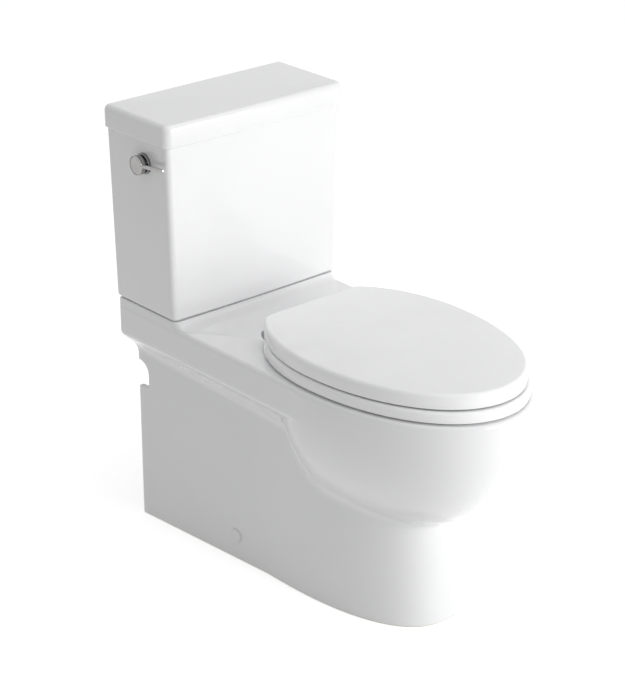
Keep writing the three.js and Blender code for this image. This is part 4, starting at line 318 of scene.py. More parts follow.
# Counts of facets
SIDE_STATIONS = 44
NOSE_STATIONS = 50
CORNER_STEPS = 5
HOLLOW_SIDE_STATIONS = 20
HOLLOW_NOSE_STATIONS = 24
OVAL_STEPS = 120
SKIRT_ROWS = 12
BELLY_ROWS = 44
CREASE_ROWS = 32
DECK_ROWS = 8
HOLLOW_ROWS = 40
RAMP_ROWS = 18
TANK_ROWS = 6
CROWN_STEPS = 12
BASIN_ROWS = 44
PIPE_ROWS = 48
PIPE_SIDES = 40
PLAN_STEPS = 14
BOW_STEPS = 12
ROUND_STEPS = 7
SEAT_STEPS = 200
CROWN_ROWS = 16
SIDES = 48
SMALL_SIDES = 32
CAST_STEPS = 34

# Angles over which an edge stays crisp
CRISP_EDGE = math.radians(38)
SMALL_CRISP_EDGE = math.radians(50)

# Heights and places that follow from the sizes
deck_bottom = RIM_HEIGHT - DECK_DEPTH
belly_widest = RIM_HEIGHT - BELLY_WIDEST_BELOW_RIM
rim_band_bottom = RIM_HEIGHT - RIM_BAND_DEPTH
basin_top = RIM_HEIGHT - RIM_LIP_HEIGHT
deck_underside = RIM_HEIGHT - DECK_WALL
platform_top = RIM_HEIGHT + PLATFORM_HEIGHT
tank_base = platform_top + LAND_HEIGHT + TOUCH_GAP
tank_top = tank_base + TANK_HEIGHT
tank_floor_top = tank_base + TANK_FLOOR
tank_rear = DECK_REAR + TANK_PAST_DECK
lid_base = tank_top + TOUCH_GAP
ring_base = RIM_HEIGHT + SEAT_BUMPER_HEIGHT
ring_top = ring_base + RING_HEIGHT
cover_base = ring_top + COVER_GAP
cover_top = cover_base + COVER_SIDE
cover_boss_base = cover_base + COVER_FOOT_EDGE
bumper_rest = ring_top - RING_DISH / 2 + RING_FOOT_EDGE / 10
hinge_y = -HINGE_Y
hinge_z = RIM_HEIGHT + HINGE_ABOVE_RIM
hinge_bolt_x = HINGE_BOLT_SPACING / 2
post_inner = hinge_bolt_x - POST_WIDTH / 2
post_outer = hinge_bolt_x + POST_WIDTH / 2
ring_lug_inner = post_outer + TOUCH_GAP
ring_lug_outer = ring_lug_inner + RING_LUG_WIDTH
cover_lug_outer = post_inner - TOUCH_GAP
cover_lug_inner = cover_lug_outer - COVER_LUG_WIDTH
lever_z = tank_top - LEVER_BELOW_TANK_TOP
wall_lean = math.atan2(TANK_TOP_HALF_WIDTH - TANK_BASE_HALF_WIDTH, TANK_HEIGHT)
lever_wall = TANK_TOP_HALF_WIDTH - LEVER_BELOW_TANK_TOP * math.tan(wall_lean)
lever_face = -lever_wall - TOUCH_GAP * 2 - ESCUTCHEON
knob_inner = lever_face - LEVER_NECK
lever_inner_end = -lever_wall + LEVER_THREAD_LENGTH
outlet_end = SKIRT_REAR - OUTLET_INSET
well_floor = RIM_HEIGHT - PLATFORM_HEIGHT
duct_floor = deck_underside - DUCT_HEIGHT - TOUCH_GAP

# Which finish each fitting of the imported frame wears
FINISH_OF_NODES = {
    "nylon": (
        "hinge_bolt_left", "hinge_bolt_right", "hinge_nut_left", "hinge_nut_right", "lever_nut",
        "fill_valve_nut", "refill_clip", "floor_bracket_left", "floor_bracket_right",
    ),
    "seal_rubber": (
        "hinge_washer_left", "hinge_washer_right", "flush_valve_washer", "tank_gasket",
        "fill_valve_washer", "tank_bolt_seal_left", "tank_bolt_seal_right",
    ),
    "steel": (
        "lever_arm", "float_rod", "skirt_screw_left", "skirt_screw_right",
        "bracket_screw_left", "bracket_screw_right",
    ),
    "brass": (
        "tank_bolt_left", "tank_bolt_right", "tank_bolt_washer_left", "tank_bolt_washer_right",
        "tank_bolt_nut_left", "tank_bolt_nut_right",
    ),
    "valve_plastic": ("flush_valve_body", "flush_valve_nut", "fill_valve_cap", "float_arm"),
    "float_plastic": ("fill_valve_body", "fill_valve_float"),
    "flapper_rubber": ("flapper",),
    "strap_rubber": ("flapper_strap",),
    "refill_rubber": ("refill_tube",),
}


# Settings that a user would change

def colour_setting(name, description, default):
    return bpy.props.FloatVectorProperty(
        name=name, description=description, default=default, min=0, max=1, subtype="COLOR",
    )


def share_setting(name, description, default):
    return bpy.props.FloatProperty(
        name=name, description=description, default=default, min=0, max=1, subtype="FACTOR",
    )


def length_setting(name, description, default, low, high):
    return bpy.props.FloatProperty(
        name=name, description=description, default=default, min=low, max=high,
        unit="LENGTH", subtype="DISTANCE",
    )


def power_setting(name, description, default):
    return bpy.props.FloatProperty(
        name=name, description=description, default=default, min=0, max=2000, unit="POWER",
    )


def angle_setting(name, description, degrees):
    return bpy.props.FloatProperty(
        name=name, description=description, default=math.radians(degrees),
        subtype="ANGLE", unit="ROTATION",
    )


class ToiletChinaSettings(bpy.types.PropertyGroup):
    """Sizes and glaze of the bowl, the tank and the tank's lid"""

    colour: colour_setting("Glaze colour", "Colour of the glazed china", (0.868, 0.87, 0.876))
    clay_colour: colour_setting("Clay colour", "Colour of the bare clay under the foot", (0.72, 0.68, 0.6))
    roughness: share_setting("Glaze roughness", "Roughness of the glaze", 0.14)
    rim_round: length_setting(
        "Rim rounding", "Radius of the edge round the bowl's opening", 0.007, 0.001, 0.02,
    )
    lid_round: length_setting(
        "Tank lid rounding", "Radius of the top edge of the tank's lid",
        LID_EDGE_RADIUS * MILLIMETRE, 0.002, 0.02,
    )


class ToiletSeatSettings(bpy.types.PropertyGroup):
    """Sizes and plastic of the seat"""

    colour: colour_setting("Seat colour", "Colour of the moulded seat", (0.95, 0.952, 0.955))
    roughness: share_setting("Seat roughness", "Roughness of the moulded seat", 0.24)
    crown: length_setting(
        "Lid crown", "How far the seat's lid swells in its middle", COVER_CROWN * MILLIMETRE, 0, 0.009,
    )
    bumper_colour: colour_setting(
        "Bumper colour", "Colour of the soft bumpers under the seat", (0.6, 0.6, 0.57),
    )
    pin_colour: colour_setting("Pin colour", "Colour of the hinge pins' caps", (0.4, 0.41, 0.43))


class ToiletLeverSettings(bpy.types.PropertyGroup):
    """Sizes and metal of the trip lever"""

    # Chrome colour: the metal's own grey, darkened and warmed as a painted reflection that stands in for the
    # brownish-grey reflection on the knob's face.
    colour: colour_setting("Chrome colour", "Colour of the lever's chrome", (0.4, 0.39, 0.385))
    plate_colour: colour_setting(
        "Plate colour", "Colour of the round plate behind the knob", (0.2, 0.2, 0.205),
    )
    roughness: share_setting("Chrome roughness", "Roughness of the lever's chrome", 0.12)
    knob_radius: length_setting(
        "Knob radius", "Radius of the round knob", KNOB_RADIUS * MILLIMETRE, 0.01, 0.02,
    )


class ToiletStageSettings(bpy.types.PropertyGroup):
    """Floor, lamps and camera"""

    floor_colour: colour_setting("Floor colour", "Colour of the pale floor", (0.9, 0.9, 0.9))
    floor_white: share_setting(
        "Floor white", "How much white the camera sees added to the floor", 0.56,
    )
    sky: bpy.props.FloatProperty(
        name="Sky strength", description="Strength of the even light from all round",
        default=0.41, min=0, max=2,
    )
    key_power: power_setting("Key lamp", "Power of the large lamp in front, on the right", 99)
    top_power: power_setting("Top lamp", "Power of the large lamp overhead", 22)
    azimuth: angle_setting("Camera azimuth", "Turn of the camera round the object", -41.135)
    elevation: angle_setting("Camera elevation", "Angle of the camera above the horizon", 24.175)
    distance: length_setting(
        "Camera distance", "Distance from the camera to the plane of the object", 3.9035, 0.5, 20,
    )
    across: length_setting(
        "Camera to the right", "How far the camera stands to the right of its line", 0.2052, -5, 5,
    )
    upward: length_setting(
        "Camera up", "How far the camera stands above its line", -0.1455, -5, 5,
    )
    lens: bpy.props.FloatProperty(
        name="Lens", description="Focal length for a 36 mm sensor on the long side",
        default=FOCAL_PIXELS / PICTURE_HEIGHT * SENSOR_WIDTH, min=20, max=400, unit="CAMERA",
    )


# Meshes from rows of points

def outward(points, faces):
    """The faces, turned round if they point into the body."""
    volume = 0.0
    for face in faces:
        corners = points[list(face)]
        for k in range(1, len(face) - 1):
            volume += np.dot(corners[0], np.cross(corners[k], corners[k + 1]))
    if volume < 0:
        return [tuple(reversed(face)) for face in faces]
    return faces


def solid(name, points, faces):
    """A new object from points in millimetres."""
    points = np.asarray(points, float)
    middle = points.mean(axis=0)
    faces = outward(points - middle, faces)
    mesh = bpy.data.meshes.new(name)
    mesh.from_pydata((points * MILLIMETRE).tolist(), [], faces)
    mesh.update()
    made = bpy.data.objects.new(name, mesh)
    bpy.context.scene.collection.objects.link(made)
    return made


def loft(name, rows):
    """A closed body between matching outlines, from the first row to the last."""
    rows = np.asarray(rows, float)
    levels, count, _ = rows.shape
    points = np.concatenate([rows.reshape(-1, 3), rows[:1].mean(axis=1), rows[-1:].mean(axis=1)])
    first_middle = levels * count
    last = (levels - 1) * count
    faces = []
    for i in range(count):
        after = (i + 1) % count
        for row in range(0, last, count):
            faces.append((row + i, row + after, row + after + count, row + i + count))
        faces.append((first_middle, after, i))
        faces.append((first_middle + 1, last + i, last + after))
    return solid(name, points, faces)


def looped(name, loops):
    """A closed band of matching loops, such as a ring's cross-sections taken round it."""
    loops = np.asarray(loops, float)
    total, count, _ = loops.shape
    faces = []
    for row in range(total):
        after_row = (row + 1) % total
        for i in range(count):
            after = (i + 1) % count
            faces.append((
                row * count + i, row * count + after,
                after_row * count + after, after_row * count + i,
            ))
    return solid(name, loops.reshape(-1, 3), faces)


def moved(points, x=0.0, y=0.0, z=0.0):
    return np.asarray(points, float) + np.array([x, y, z])


def circle(radius, height, sides):
    turn = 2 * math.pi * np.arange(sides) / sides
    return np.stack([radius * np.cos(turn), radius * np.sin(turn), np.full(sides, height)], axis=1)


def along_x(points):
    """Turns a form drawn along Z so that it lies along X."""
    points = np.asarray(points, float)
    return np.stack([points[..., 2], points[..., 1], -points[..., 0]], axis=-1)


def turned(name, profile, place=(0, 0, 0), lay=None, sides=SIDES):
    """A profile of (radius, height) turned about Z, laid by a function, then moved to its place."""
    on_axis = profile[0][0] == 0 and profile[-1][0] == 0
    if on_axis:
        rows = [circle(r, h, sides) for r, h in profile if r > 0]
    else:
        stops = 2 * math.pi * np.arange(sides) / sides
        rows = [[(r * math.cos(t), r * math.sin(t), h) for r, h in profile] for t in stops]
    rows = np.asarray(rows, float)
    if lay is not None:
        rows = lay(rows)
    rows = moved(rows, *place)
    return loft(name, rows) if on_axis else looped(name, rows)


def disc(radius, z0, z1, place=(0, 0, 0), lay=None, sides=SIDES):
    return turned("disc", [(0, z0), (radius, z0), (radius, z1), (0, z1)], place, lay, sides)


def block(x0, x1, y0, y1, z0, z1):
    def level(z):
        return [(x0, y0, z), (x1, y0, z), (x1, y1, z), (x0, y1, z)]
    return loft("block", [level(z0), level(z1)])


def rounded_corners(points, radii, steps=ROUND_STEPS):
    """The polyline with a soft curve at each corner that has a radius."""
    out = []
    count = len(points)
    for i, radius in enumerate(radii):
        corner = np.array(points[i], float)
        if radius == 0:
            out.append(tuple(corner))
            continue
        to_last = np.array(points[(i - 1) % count], float) - corner
        to_next = np.array(points[(i + 1) % count], float) - corner
        start = corner + to_last / np.linalg.norm(to_last) * radius
        end = corner + to_next / np.linalg.norm(to_next) * radius
        for t in np.linspace(0, 1, steps + 1):
            out.append(tuple((1 - t) ** 2 * start + 2 * t * (1 - t) * corner + t ** 2 * end))
    return out


def set_in(outline, distance):
    """A convex outline of (y, z) points, each side moved inwards by the distance."""
    points = np.asarray(outline, float)
    before = np.roll(points, 1, axis=0)
    after = np.roll(points, -1, axis=0)
    into = points - before
    away = after - points
    into /= np.linalg.norm(into, axis=1, keepdims=True)
    away /= np.linalg.norm(away, axis=1, keepdims=True)
    area = np.sum(points[:, 0] * np.roll(points[:, 1], -1) - np.roll(points[:, 0], -1) * points[:, 1])
    side = 1.0 if area > 0 else -1.0
    normals = np.stack([-into[:, 1] - away[:, 1], into[:, 0] + away[:, 0]], axis=1) * side
    length = np.linalg.norm(normals, axis=1, keepdims=True)
    normals /= length
    return points + normals * distance * 2 / length


def pulled_along_x(name, outline, x0, x1, edge=0.0):
    """An outline of (y, z) points pulled out along X, with softened ends where an edge is given."""
    stops = [(x0, 0.0), (x1, 0.0)]
    if edge > 0:
        turn = np.linspace(0, math.pi / 2, ROUND_STEPS)
        start = [(x0 + edge * (1 - math.sin(t)), edge * (1 - math.cos(t))) for t in turn[::-1]]
        end = [(x1 - edge * (1 - math.sin(t)), edge * (1 - math.cos(t))) for t in turn]
        stops = start + end
    rows = []
    for x, inset in stops:
        flat = set_in(outline, inset) if inset > 0 else np.asarray(outline, float)
        rows.append([(x, y, z) for y, z in flat])
    return loft(name, rows)


def smooth_stops(stops, count):
    """Stops joined by a smooth curve through them, as evenly numbered rows."""
    stops = np.asarray(stops, float)
    padded = np.concatenate([2 * stops[:1] - stops[1:2], stops, 2 * stops[-1:] - stops[-2:-1]])
    out = []
    for at in np.linspace(0, len(stops) - 1, count):
        i = min(int(at), len(stops) - 2)
        t = at - i
        a, b, c, d = padded[i:i + 4]
        out.append(0.5 * (
            2 * b + (c - a) * t + (2 * a - 5 * b + 4 * c - d) * t ** 2 + (3 * b - a - 3 * c + d) * t ** 3
        ))
    return np.array(out)


def pipe(name, stops, sides=PIPE_SIDES):
    """A round pipe along (y, z, radius) stops in the plane x = 0."""
    stops = np.asarray(stops, float)
    run = np.gradient(stops[:, :2], axis=0)
    run /= np.linalg.norm(run, axis=1, keepdims=True)
    turn = 2 * math.pi * np.arange(sides) / sides
    rows = []
    for (y, z, radius), (dy, dz) in zip(stops, run):
        rise = radius * np.sin(turn)
        rows.append(np.stack([radius * np.cos(turn), y - dz * rise, z + dy * rise], axis=1))
    return loft(name, rows)


# Joining, cutting and finishing objects

def combined(base, others, operation):
    """Base joined with, or cut by, the other objects, which are used up."""
    for other in others:
        step = base.modifiers.new(operation.lower(), "BOOLEAN")
        step.operation = operation
        step.solver = "MANIFOLD"
        step.object = other
    graph = bpy.context.evaluated_depsgraph_get()
    mesh = bpy.data.meshes.new_from_object(base.evaluated_get(graph))
    base.modifiers.clear()
    old = base.data
    base.data = mesh
    bpy.data.meshes.remove(old)
    for other in others:
        data = other.data
        bpy.data.objects.remove(other)
        bpy.data.meshes.remove(data)
    if not base.data.polygons:
        raise RuntimeError(f"{base.name} has no faces left after its {operation.lower()}")
    return base


def joined(base, *others):
    return combined(base, others, "UNION")


def cut(base, *others):
    return combined(base, others, "DIFFERENCE")


def mirrored(source, name):
    """A copy of the object on the other side of the centre line."""
    mesh = source.data.copy()
    made = bpy.data.objects.new(name, mesh)
    bpy.context.scene.collection.objects.link(made)
    points = np.empty(len(mesh.vertices) * 3)
    mesh.vertices.foreach_get("co", points)
    points[0::3] *= -1
    mesh.vertices.foreach_set("co", points)
    mesh.flip_normals()
    mesh.update()
    return made


def dressed(made, name, material, body, nodes, crisp=CRISP_EDGE):
    """Names, smooths and paints a finished piece and hands it to the frame."""
    made.name = name
    made.data.name = name
    made.data.materials.clear()
    made.data.materials.append(material)
    made.data.shade_smooth()
    made.data.set_sharp_from_angle(angle=crisp)
    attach(made, body)
    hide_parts(*nodes)
    return made


# Plan outlines. A field is negative inside its form and reads in millimetres near the edge.

def oval_field(dx, dy, half_width, length, power):
    share = ((np.abs(dx) / half_width) ** power + (np.abs(dy) / length) ** power) ** (1 / power)
    share = np.maximum(share, 1e-6)
    return np.hypot(dx, dy) * (1 - 1 / share) - np.where(share > 1e-6, 0, half_width)


def blend_min(a, b, radius):
    near = np.maximum(radius - np.abs(a - b), 0) / radius
    return np.minimum(a, b) - near * near * radius / 4


def blend_max(a, b, radius):
    return -blend_min(-a, -b, radius)


def skirt_field(x, y, z):
    nose = SKIRT_NOSE - z * NOSE_LEAN_SHARE
    half = SKIRT_FRONT_HALF_WIDTH - z * SIDE_LEAN_SHARE
    back = (y + SKIRT_TURN) / (SKIRT_REAR + SKIRT_TURN)
    rear_side = np.abs(x) - (half + (SKIRT_REAR_HALF_WIDTH - half) * back)
    return np.where(y < -SKIRT_TURN, oval_field(x, y + SKIRT_TURN, half, nose, NOSE_POWER), rear_side)


def belly_field(x, y, z):
    drop = np.maximum(belly_widest - z, 0) / (belly_widest - BELLY_FLOOR_HEIGHT)
    width = np.maximum(1 - BELLY_WIDTH_LOSS_SHARE * drop ** BELLY_WIDTH_POWER, SMALLEST_SHARE)
    length = 1 - BELLY_LENGTH_LOSS_SHARE * drop ** BELLY_LENGTH_POWER
    length = np.maximum(length - BELLY_FOOT_LOSS_SHARE * drop ** BELLY_FOOT_POWER, SMALLEST_SHARE)
    reach = np.where(y < -RIM_CENTRE, RIM_LENGTH * length, BELLY_REAR_LENGTH * width)
    return oval_field(x, y + RIM_CENTRE, RIM_HALF_WIDTH * width, reach, SEAT_OUTLINE_POWER)


def deck_field(x, y, z):
    below = blend_max(deck_bottom - z, np.zeros_like(z), DECK_LOWER_EDGE_SOFTNESS)
    half = DECK_HALF_WIDTH - below * UNDERCUT_SHARE
    return np.maximum(np.abs(x) - half, -RIM_CENTRE - y)


def bowl_field(x, y, z):
    upper = np.minimum(belly_field(x, y, z), deck_field(x, y, z))
    return blend_min(upper, skirt_field(x, y, z), BLEND)


def cast(field, x, y, dx, dy, value, far):
    """Distances from points, along directions, to where the field reaches the given value."""
    shape = np.broadcast(x, y, dx, dy, value).shape
    near = np.zeros(shape)
    end = np.full(shape, float(far))
    for _ in range(CAST_STEPS):
        middle = (near + end) / 2
        inside = field(x + dx * middle, y + dy * middle) < value
        near = np.where(inside, middle, near)
        end = np.where(inside, end, middle)
    return near


def bowl_rows(heights, insets, rears, corner, sides, noses):
    """Level outlines of the bowl, each set in by a distance: right side, nose, left side."""
    z = np.maximum(np.asarray(heights, float), 0)[:, None]
    inset = np.asarray(insets, float)[:, None]
    rear = np.asarray(rears, float)[:, None]
    far = RIM_CENTRE + RIM_LENGTH

    def field(x, y):
        return bowl_field(x, y, z + np.zeros_like(x + y))

    share = np.linspace(0, SIDE_END_SHARE, sides)[None, :]
    side_y = rear - corner - share * (rear - corner + RIM_CENTRE)
    side_x = cast(field, 0 * side_y, side_y, 1, 0, -inset, far)
    turn = np.linspace(0, math.pi / 2, noses)[None, :]
    reach = cast(field, 0 * (turn + z), -RIM_CENTRE, np.cos(turn), -np.sin(turn), -inset, far)
    nose_x = reach * np.cos(turn)
    nose_y = -RIM_CENTRE - reach * np.sin(turn)
    nose_x[:, -1] = 0
    xs = [side_x, nose_x]
    ys = [side_y, nose_y]
    if corner > 0:
        around = np.linspace(math.pi / 2, 0, CORNER_STEPS + 1)[None, :-1]
        xs.insert(0, side_x[:, :1] - corner + corner * np.cos(around))
        ys.insert(0, rear - corner + corner * np.sin(around))
    half_x = np.concatenate(xs, axis=1)
    half_y = np.concatenate(ys, axis=1)
    x = np.concatenate([half_x, -half_x[:, -2::-1]], axis=1)
    y = np.concatenate([half_y, half_y[:, -2::-1]], axis=1)
    level = np.asarray(heights, float)[:, None] + np.zeros_like(x)
    return np.stack([x, y, level], axis=2)


# Bowl

def bowl_shell():
    foot = np.linspace(0, math.pi / 2, ROUND_STEPS)
    crest = np.linspace(0, math.pi / 2, ROUND_STEPS + 3)
    edge_start = RIM_HEIGHT - DECK_EDGE_RADIUS
    heights = list(SKIRT_FOOT_RADIUS * (1 - np.cos(foot)))
    insets = list(SKIRT_FOOT_RADIUS * (1 - np.sin(foot)))
    plain = np.concatenate([
        np.linspace(SKIRT_FOOT_RADIUS * 3, BELLY_FLOOR_HEIGHT - BLEND, SKIRT_ROWS),
        np.linspace(BELLY_FLOOR_HEIGHT - BLEND / 2, deck_bottom - BLEND * 2, BELLY_ROWS),
        np.linspace(deck_bottom - BLEND * 2 + ROW_GAP, deck_bottom + BLEND, CREASE_ROWS),
        np.linspace(deck_bottom + BLEND + ROW_GAP * 3, edge_start - ROW_GAP, DECK_ROWS),
    ])
    heights += list(plain)
    insets += [0.0] * len(plain)
    heights += list(edge_start + DECK_EDGE_RADIUS * np.sin(crest))
    insets += list(DECK_EDGE_RADIUS * (1 - np.cos(crest)))
    rears = np.interp(heights, [REAR_STEP_BOTTOM, REAR_STEP_TOP], [SKIRT_REAR, DECK_REAR])
    return loft("bowl", bowl_rows(heights, insets, rears, SKIRT_CORNER_RADIUS, SIDE_STATIONS, NOSE_STATIONS))


def skirt_hollow():
    heights = np.concatenate([[-OVERRUN], np.linspace(0, rim_band_bottom, HOLLOW_ROWS)])
    insets = np.full(len(heights), CHINA_WALL)
    rears = np.full(len(heights), SKIRT_REAR + OVERRUN)
    return loft("hollow", bowl_rows(
        heights, insets, rears, 0, HOLLOW_SIDE_STATIONS, HOLLOW_NOSE_STATIONS,
    ))


def deck_pocket():
    half = DECK_HALF_WIDTH - DECK_WALL
    return block(
        -half, half, -DECK_POCKET_FRONT, DECK_REAR - DECK_WALL, rim_band_bottom - OVERRUN, deck_underside,
    )


def oval(half_width, length, rear_length, z):
    turn = 2 * math.pi * np.arange(OVAL_STEPS) / OVAL_STEPS
    reach = np.where(np.sin(turn) > 0, rear_length, length)
    x = half_width * np.cos(turn)
    y = -RIM_CENTRE + reach * np.sin(turn)
    return np.stack([x, y, np.full(OVAL_STEPS, float(z))], axis=1)


def basin(wall):
    depth = basin_top - BASIN_FLOOR_HEIGHT
    rows = smooth_stops(BASIN_SHARES, BASIN_ROWS)
    return loft("basin", [oval(
        BASIN_HALF_WIDTH * width + wall,
        BASIN_LENGTH * length + wall,
        BASIN_REAR_LENGTH * rear + wall,
        BASIN_FLOOR_HEIGHT - wall + up * (depth + wall),
    ) for up, width, length, rear in rows])


def opening_band(stops):
    """An oval band round the opening, from (margin, height) stops."""
    return loft("band", [oval(
        OPENING_HALF_WIDTH + margin, OPENING_LENGTH + margin, OPENING_REAR_LENGTH + margin, z,
    ) for margin, z in stops])


def rim_channel():
    return loft("channel", [
        oval(BASIN_HALF_WIDTH, BASIN_LENGTH, BASIN_REAR_LENGTH, z)
        for z in (basin_top - TOUCH_GAP, RIM_HEIGHT - RIM_TOP_WALL)
    ])


def trapway(wall, end_wall, end):
    start_y = -RIM_CENTRE + TRAP_START_BEHIND_CENTRE
    weir_y = -RIM_CENTRE + WEIR_BEHIND_CENTRE
    stops = [(
        start_y + back * (weir_y - start_y),
        TRAP_START_HEIGHT + up * (WEIR_HEIGHT - TRAP_START_HEIGHT),
        TRAP_RADIUS + wall,
    ) for back, up in TRAP_RISE_SHARES]
    stops += [(
        weir_y + back * TRAP_FALL_LENGTH,
        WEIR_HEIGHT + down * (OUTLET_HEIGHT - WEIR_HEIGHT),
        (TRAP_RADIUS + wall) * (1 - back) + (OUTLET_RADIUS + end_wall) * back,
    ) for back, down in TRAP_FALL_SHARES]
    stops.append((end, OUTLET_HEIGHT, OUTLET_RADIUS + end_wall))
    return pipe("trapway", smooth_stops(stops, PIPE_ROWS))


def rounded_plan(half, front, rear, front_radius, rear_radius, z, bow=0.0):
    """A rounded rectangle in plan; the front edge can bow outwards."""
    def corner(cx, cy, radius, start):
        turn = start + np.linspace(0, math.pi / 2, PLAN_STEPS + 1)
        return [(cx + radius * math.cos(t), cy + radius * math.sin(t), z) for t in turn]
    span = half - front_radius
    shares = np.linspace(-1, 1, BOW_STEPS + 1)[1:-1]
    bowed = [(share * span, front - bow * (1 - share ** 2), z) for share in shares]
    return (
        corner(half - rear_radius, rear - rear_radius, rear_radius, 0)
        + corner(-half + rear_radius, rear - rear_radius, rear_radius, math.pi / 2)
        + corner(-half + front_radius, front + front_radius, front_radius, math.pi)
        + bowed
        + corner(half - front_radius, front + front_radius, front_radius, -math.pi / 2)
    )


def tank_platform():
    half = DECK_HALF_WIDTH - PLATFORM_HAIR
    rear = DECK_REAR - PLATFORM_HAIR
    front = -TANK_FRONT + TANK_FRONT_TAPER

    def level(z, reach, inset):
        return rounded_plan(
            half - inset, front - reach * PLATFORM_RAMP + inset, rear - inset,
            TANK_FRONT_RADIUS + reach * PLATFORM_RAMP - inset, SKIRT_CORNER_RADIUS, z,
        )

    edge_start = platform_top - PLATFORM_EDGE
    rows = [level(RIM_HEIGHT - DECK_WALL, 1, 0)]
    for up, reach in smooth_stops(RAMP_SHARES, RAMP_ROWS):
        z = RIM_HEIGHT + up * PLATFORM_HEIGHT
        if z < edge_start:
            rows.append(level(z, max(reach, 0), 0))
    for t in np.linspace(0, math.pi / 2, ROUND_STEPS):
        rows.append(level(edge_start + PLATFORM_EDGE * math.sin(t), 0, PLATFORM_EDGE * (1 - math.cos(t))))
    return loft("platform", rows)


def supply_notch():
    rear = SKIRT_REAR + OVERRUN
    deep = SKIRT_REAR - NOTCH_DEPTH
    top = NOTCH_FLOOR_HEIGHT + NOTCH_HEIGHT
    arc = [(
        deep + NOTCH_CORNER_RADIUS * (1 - math.cos(t)),
        top - NOTCH_CORNER_RADIUS * (1 - math.sin(t)),
    ) for t in np.linspace(0, math.pi / 2, PLAN_STEPS)]
    outline = [(deep, NOTCH_FLOOR_HEIGHT), *arc, (rear, top), (rear, NOTCH_FLOOR_HEIGHT)]
    return pulled_along_x("notch", outline, -DECK_HALF_WIDTH, DECK_HALF_WIDTH)


def skirt_wall_at(y):
    def field(x, _):
        return bowl_field(x, np.full_like(x, y), np.full_like(x, FIXING_HEIGHT))
    return float(cast(field, np.zeros(1), np.full(1, y), 1, 0, 0, DECK_REAR * 2)[0])


fixing_x = skirt_wall_at(-FIXING_Y)
fixing_turn = math.atan2(
    skirt_wall_at(-FIXING_Y + CAP_RADIUS) - skirt_wall_at(-FIXING_Y - CAP_RADIUS), CAP_RADIUS * 2,
)


def at_fixing(side):
    """Lays a form drawn along Z outwards from the skirt's face, on the given side."""
    tilt = math.atan(SIDE_LEAN_SHARE)
    heading = -fixing_turn if side > 0 else math.pi + fixing_turn

    def lay(points):
        x, y, z = np.moveaxis(along_x(points), -1, 0)
        leant_x = x * math.cos(tilt) - z * math.sin(tilt)
        leant_z = x * math.sin(tilt) + z * math.cos(tilt) + FIXING_HEIGHT
        turned_x = leant_x * math.cos(heading) - y * math.sin(heading)
        turned_y = leant_x * math.sin(heading) + y * math.cos(heading)
        return np.stack([turned_x + side * fixing_x, turned_y - FIXING_Y, leant_z], axis=-1)

    return lay


def bowl_body(rim_round):
    duct_rear = FLUSH_Y + INLET_RADIUS
    duct_front = -RIM_CENTRE + BASIN_REAR_LENGTH - OVERRUN
    wall = skirt_wall_at(0) - CHINA_WALL / 2
    flush = (0, FLUSH_Y, 0)
    body = cut(bowl_shell(), skirt_hollow(), deck_pocket())
    body = joined(
        body,
        basin(BASIN_WALL),
        trapway(TRAP_WALL, OUTLET_WALL, outlet_end),
        block(-wall, wall, -CROSS_WALL / 2, CROSS_WALL / 2, 0, CROSS_WALL_HEIGHT),
        block(
            -DUCT_HALF_WIDTH - DUCT_WALL, DUCT_HALF_WIDTH + DUCT_WALL,
            -DECK_POCKET_FRONT - OVERRUN, duct_rear + DUCT_WALL,
            duct_floor - DUCT_WALL, deck_underside + OVERRUN,
        ),
        disc(WELL_RADIUS + DECK_WALL, duct_floor - DUCT_WALL, deck_underside + OVERRUN, flush),
        tank_platform(),
        *[disc(LAND_RADIUS, RIM_HEIGHT, platform_top + LAND_HEIGHT, (side * TANK_BOLT_X, FLUSH_Y, 0))
          for side in (-1, 1)],
    )
    body = cut(
        body,
        basin(0),
        trapway(0, 0, outlet_end + OVERRUN),
        rim_channel(),
        block(
            -DUCT_HALF_WIDTH, DUCT_HALF_WIDTH, duct_front, duct_rear,
            duct_floor, duct_floor + DUCT_HEIGHT,
        ),
        disc(INLET_RADIUS, duct_floor + TOUCH_GAP, RIM_HEIGHT, flush),
        disc(WELL_RADIUS, well_floor, platform_top + OVERRUN, flush),
        supply_notch(),
    )
    lip_bottom = basin_top + TOUCH_GAP
    body = joined(body, opening_band([
        (RIM_LIP_WALL - RIM_LIP_WALL / 3, lip_bottom),
        (RIM_LIP_WALL, lip_bottom + RIM_LIP_WALL / 3),
        (RIM_LIP_WALL, RIM_HEIGHT - RIM_TOP_WALL / 2),
    ]))
    crest = [(
        rim_round * (1 - math.cos(t)), RIM_HEIGHT - rim_round + rim_round * math.sin(t),
    ) for t in np.linspace(0, math.pi / 2, ROUND_STEPS + 2)]
    opening = opening_band([
        (RIM_LIP_WALL / 3, rim_band_bottom),
        (RIM_LIP_WALL / 3, lip_bottom - TOUCH_GAP),
        (0, lip_bottom + RIM_LIP_WALL / 3),
        *crest,
        (rim_round, RIM_HEIGHT + OVERRUN),
    ])

    def through(radius, x, y):
        top = platform_top + OVERRUN * 2
        return disc(radius, duct_floor - DUCT_WALL, top, (x, y, 0), sides=SMALL_SIDES)

    holes = [opening, through(FILL_HOLE_RADIUS, -FILL_X, FILL_Y)]
    for side in (-1, 1):
        holes.append(through(TANK_BOLT_HOLE_RADIUS, side * TANK_BOLT_X, FLUSH_Y))
        holes.append(through(SEAT_BOLT_RADIUS + RUN_GAP * 2, side * hinge_bolt_x, hinge_y))
        holes.append(disc(SIDE_SCREW_RADIUS + SLACK / 2, -CHINA_WALL * 2, CHINA_WALL, lay=at_fixing(side)))
    return cut(body, *holes)


# Tank and its lid

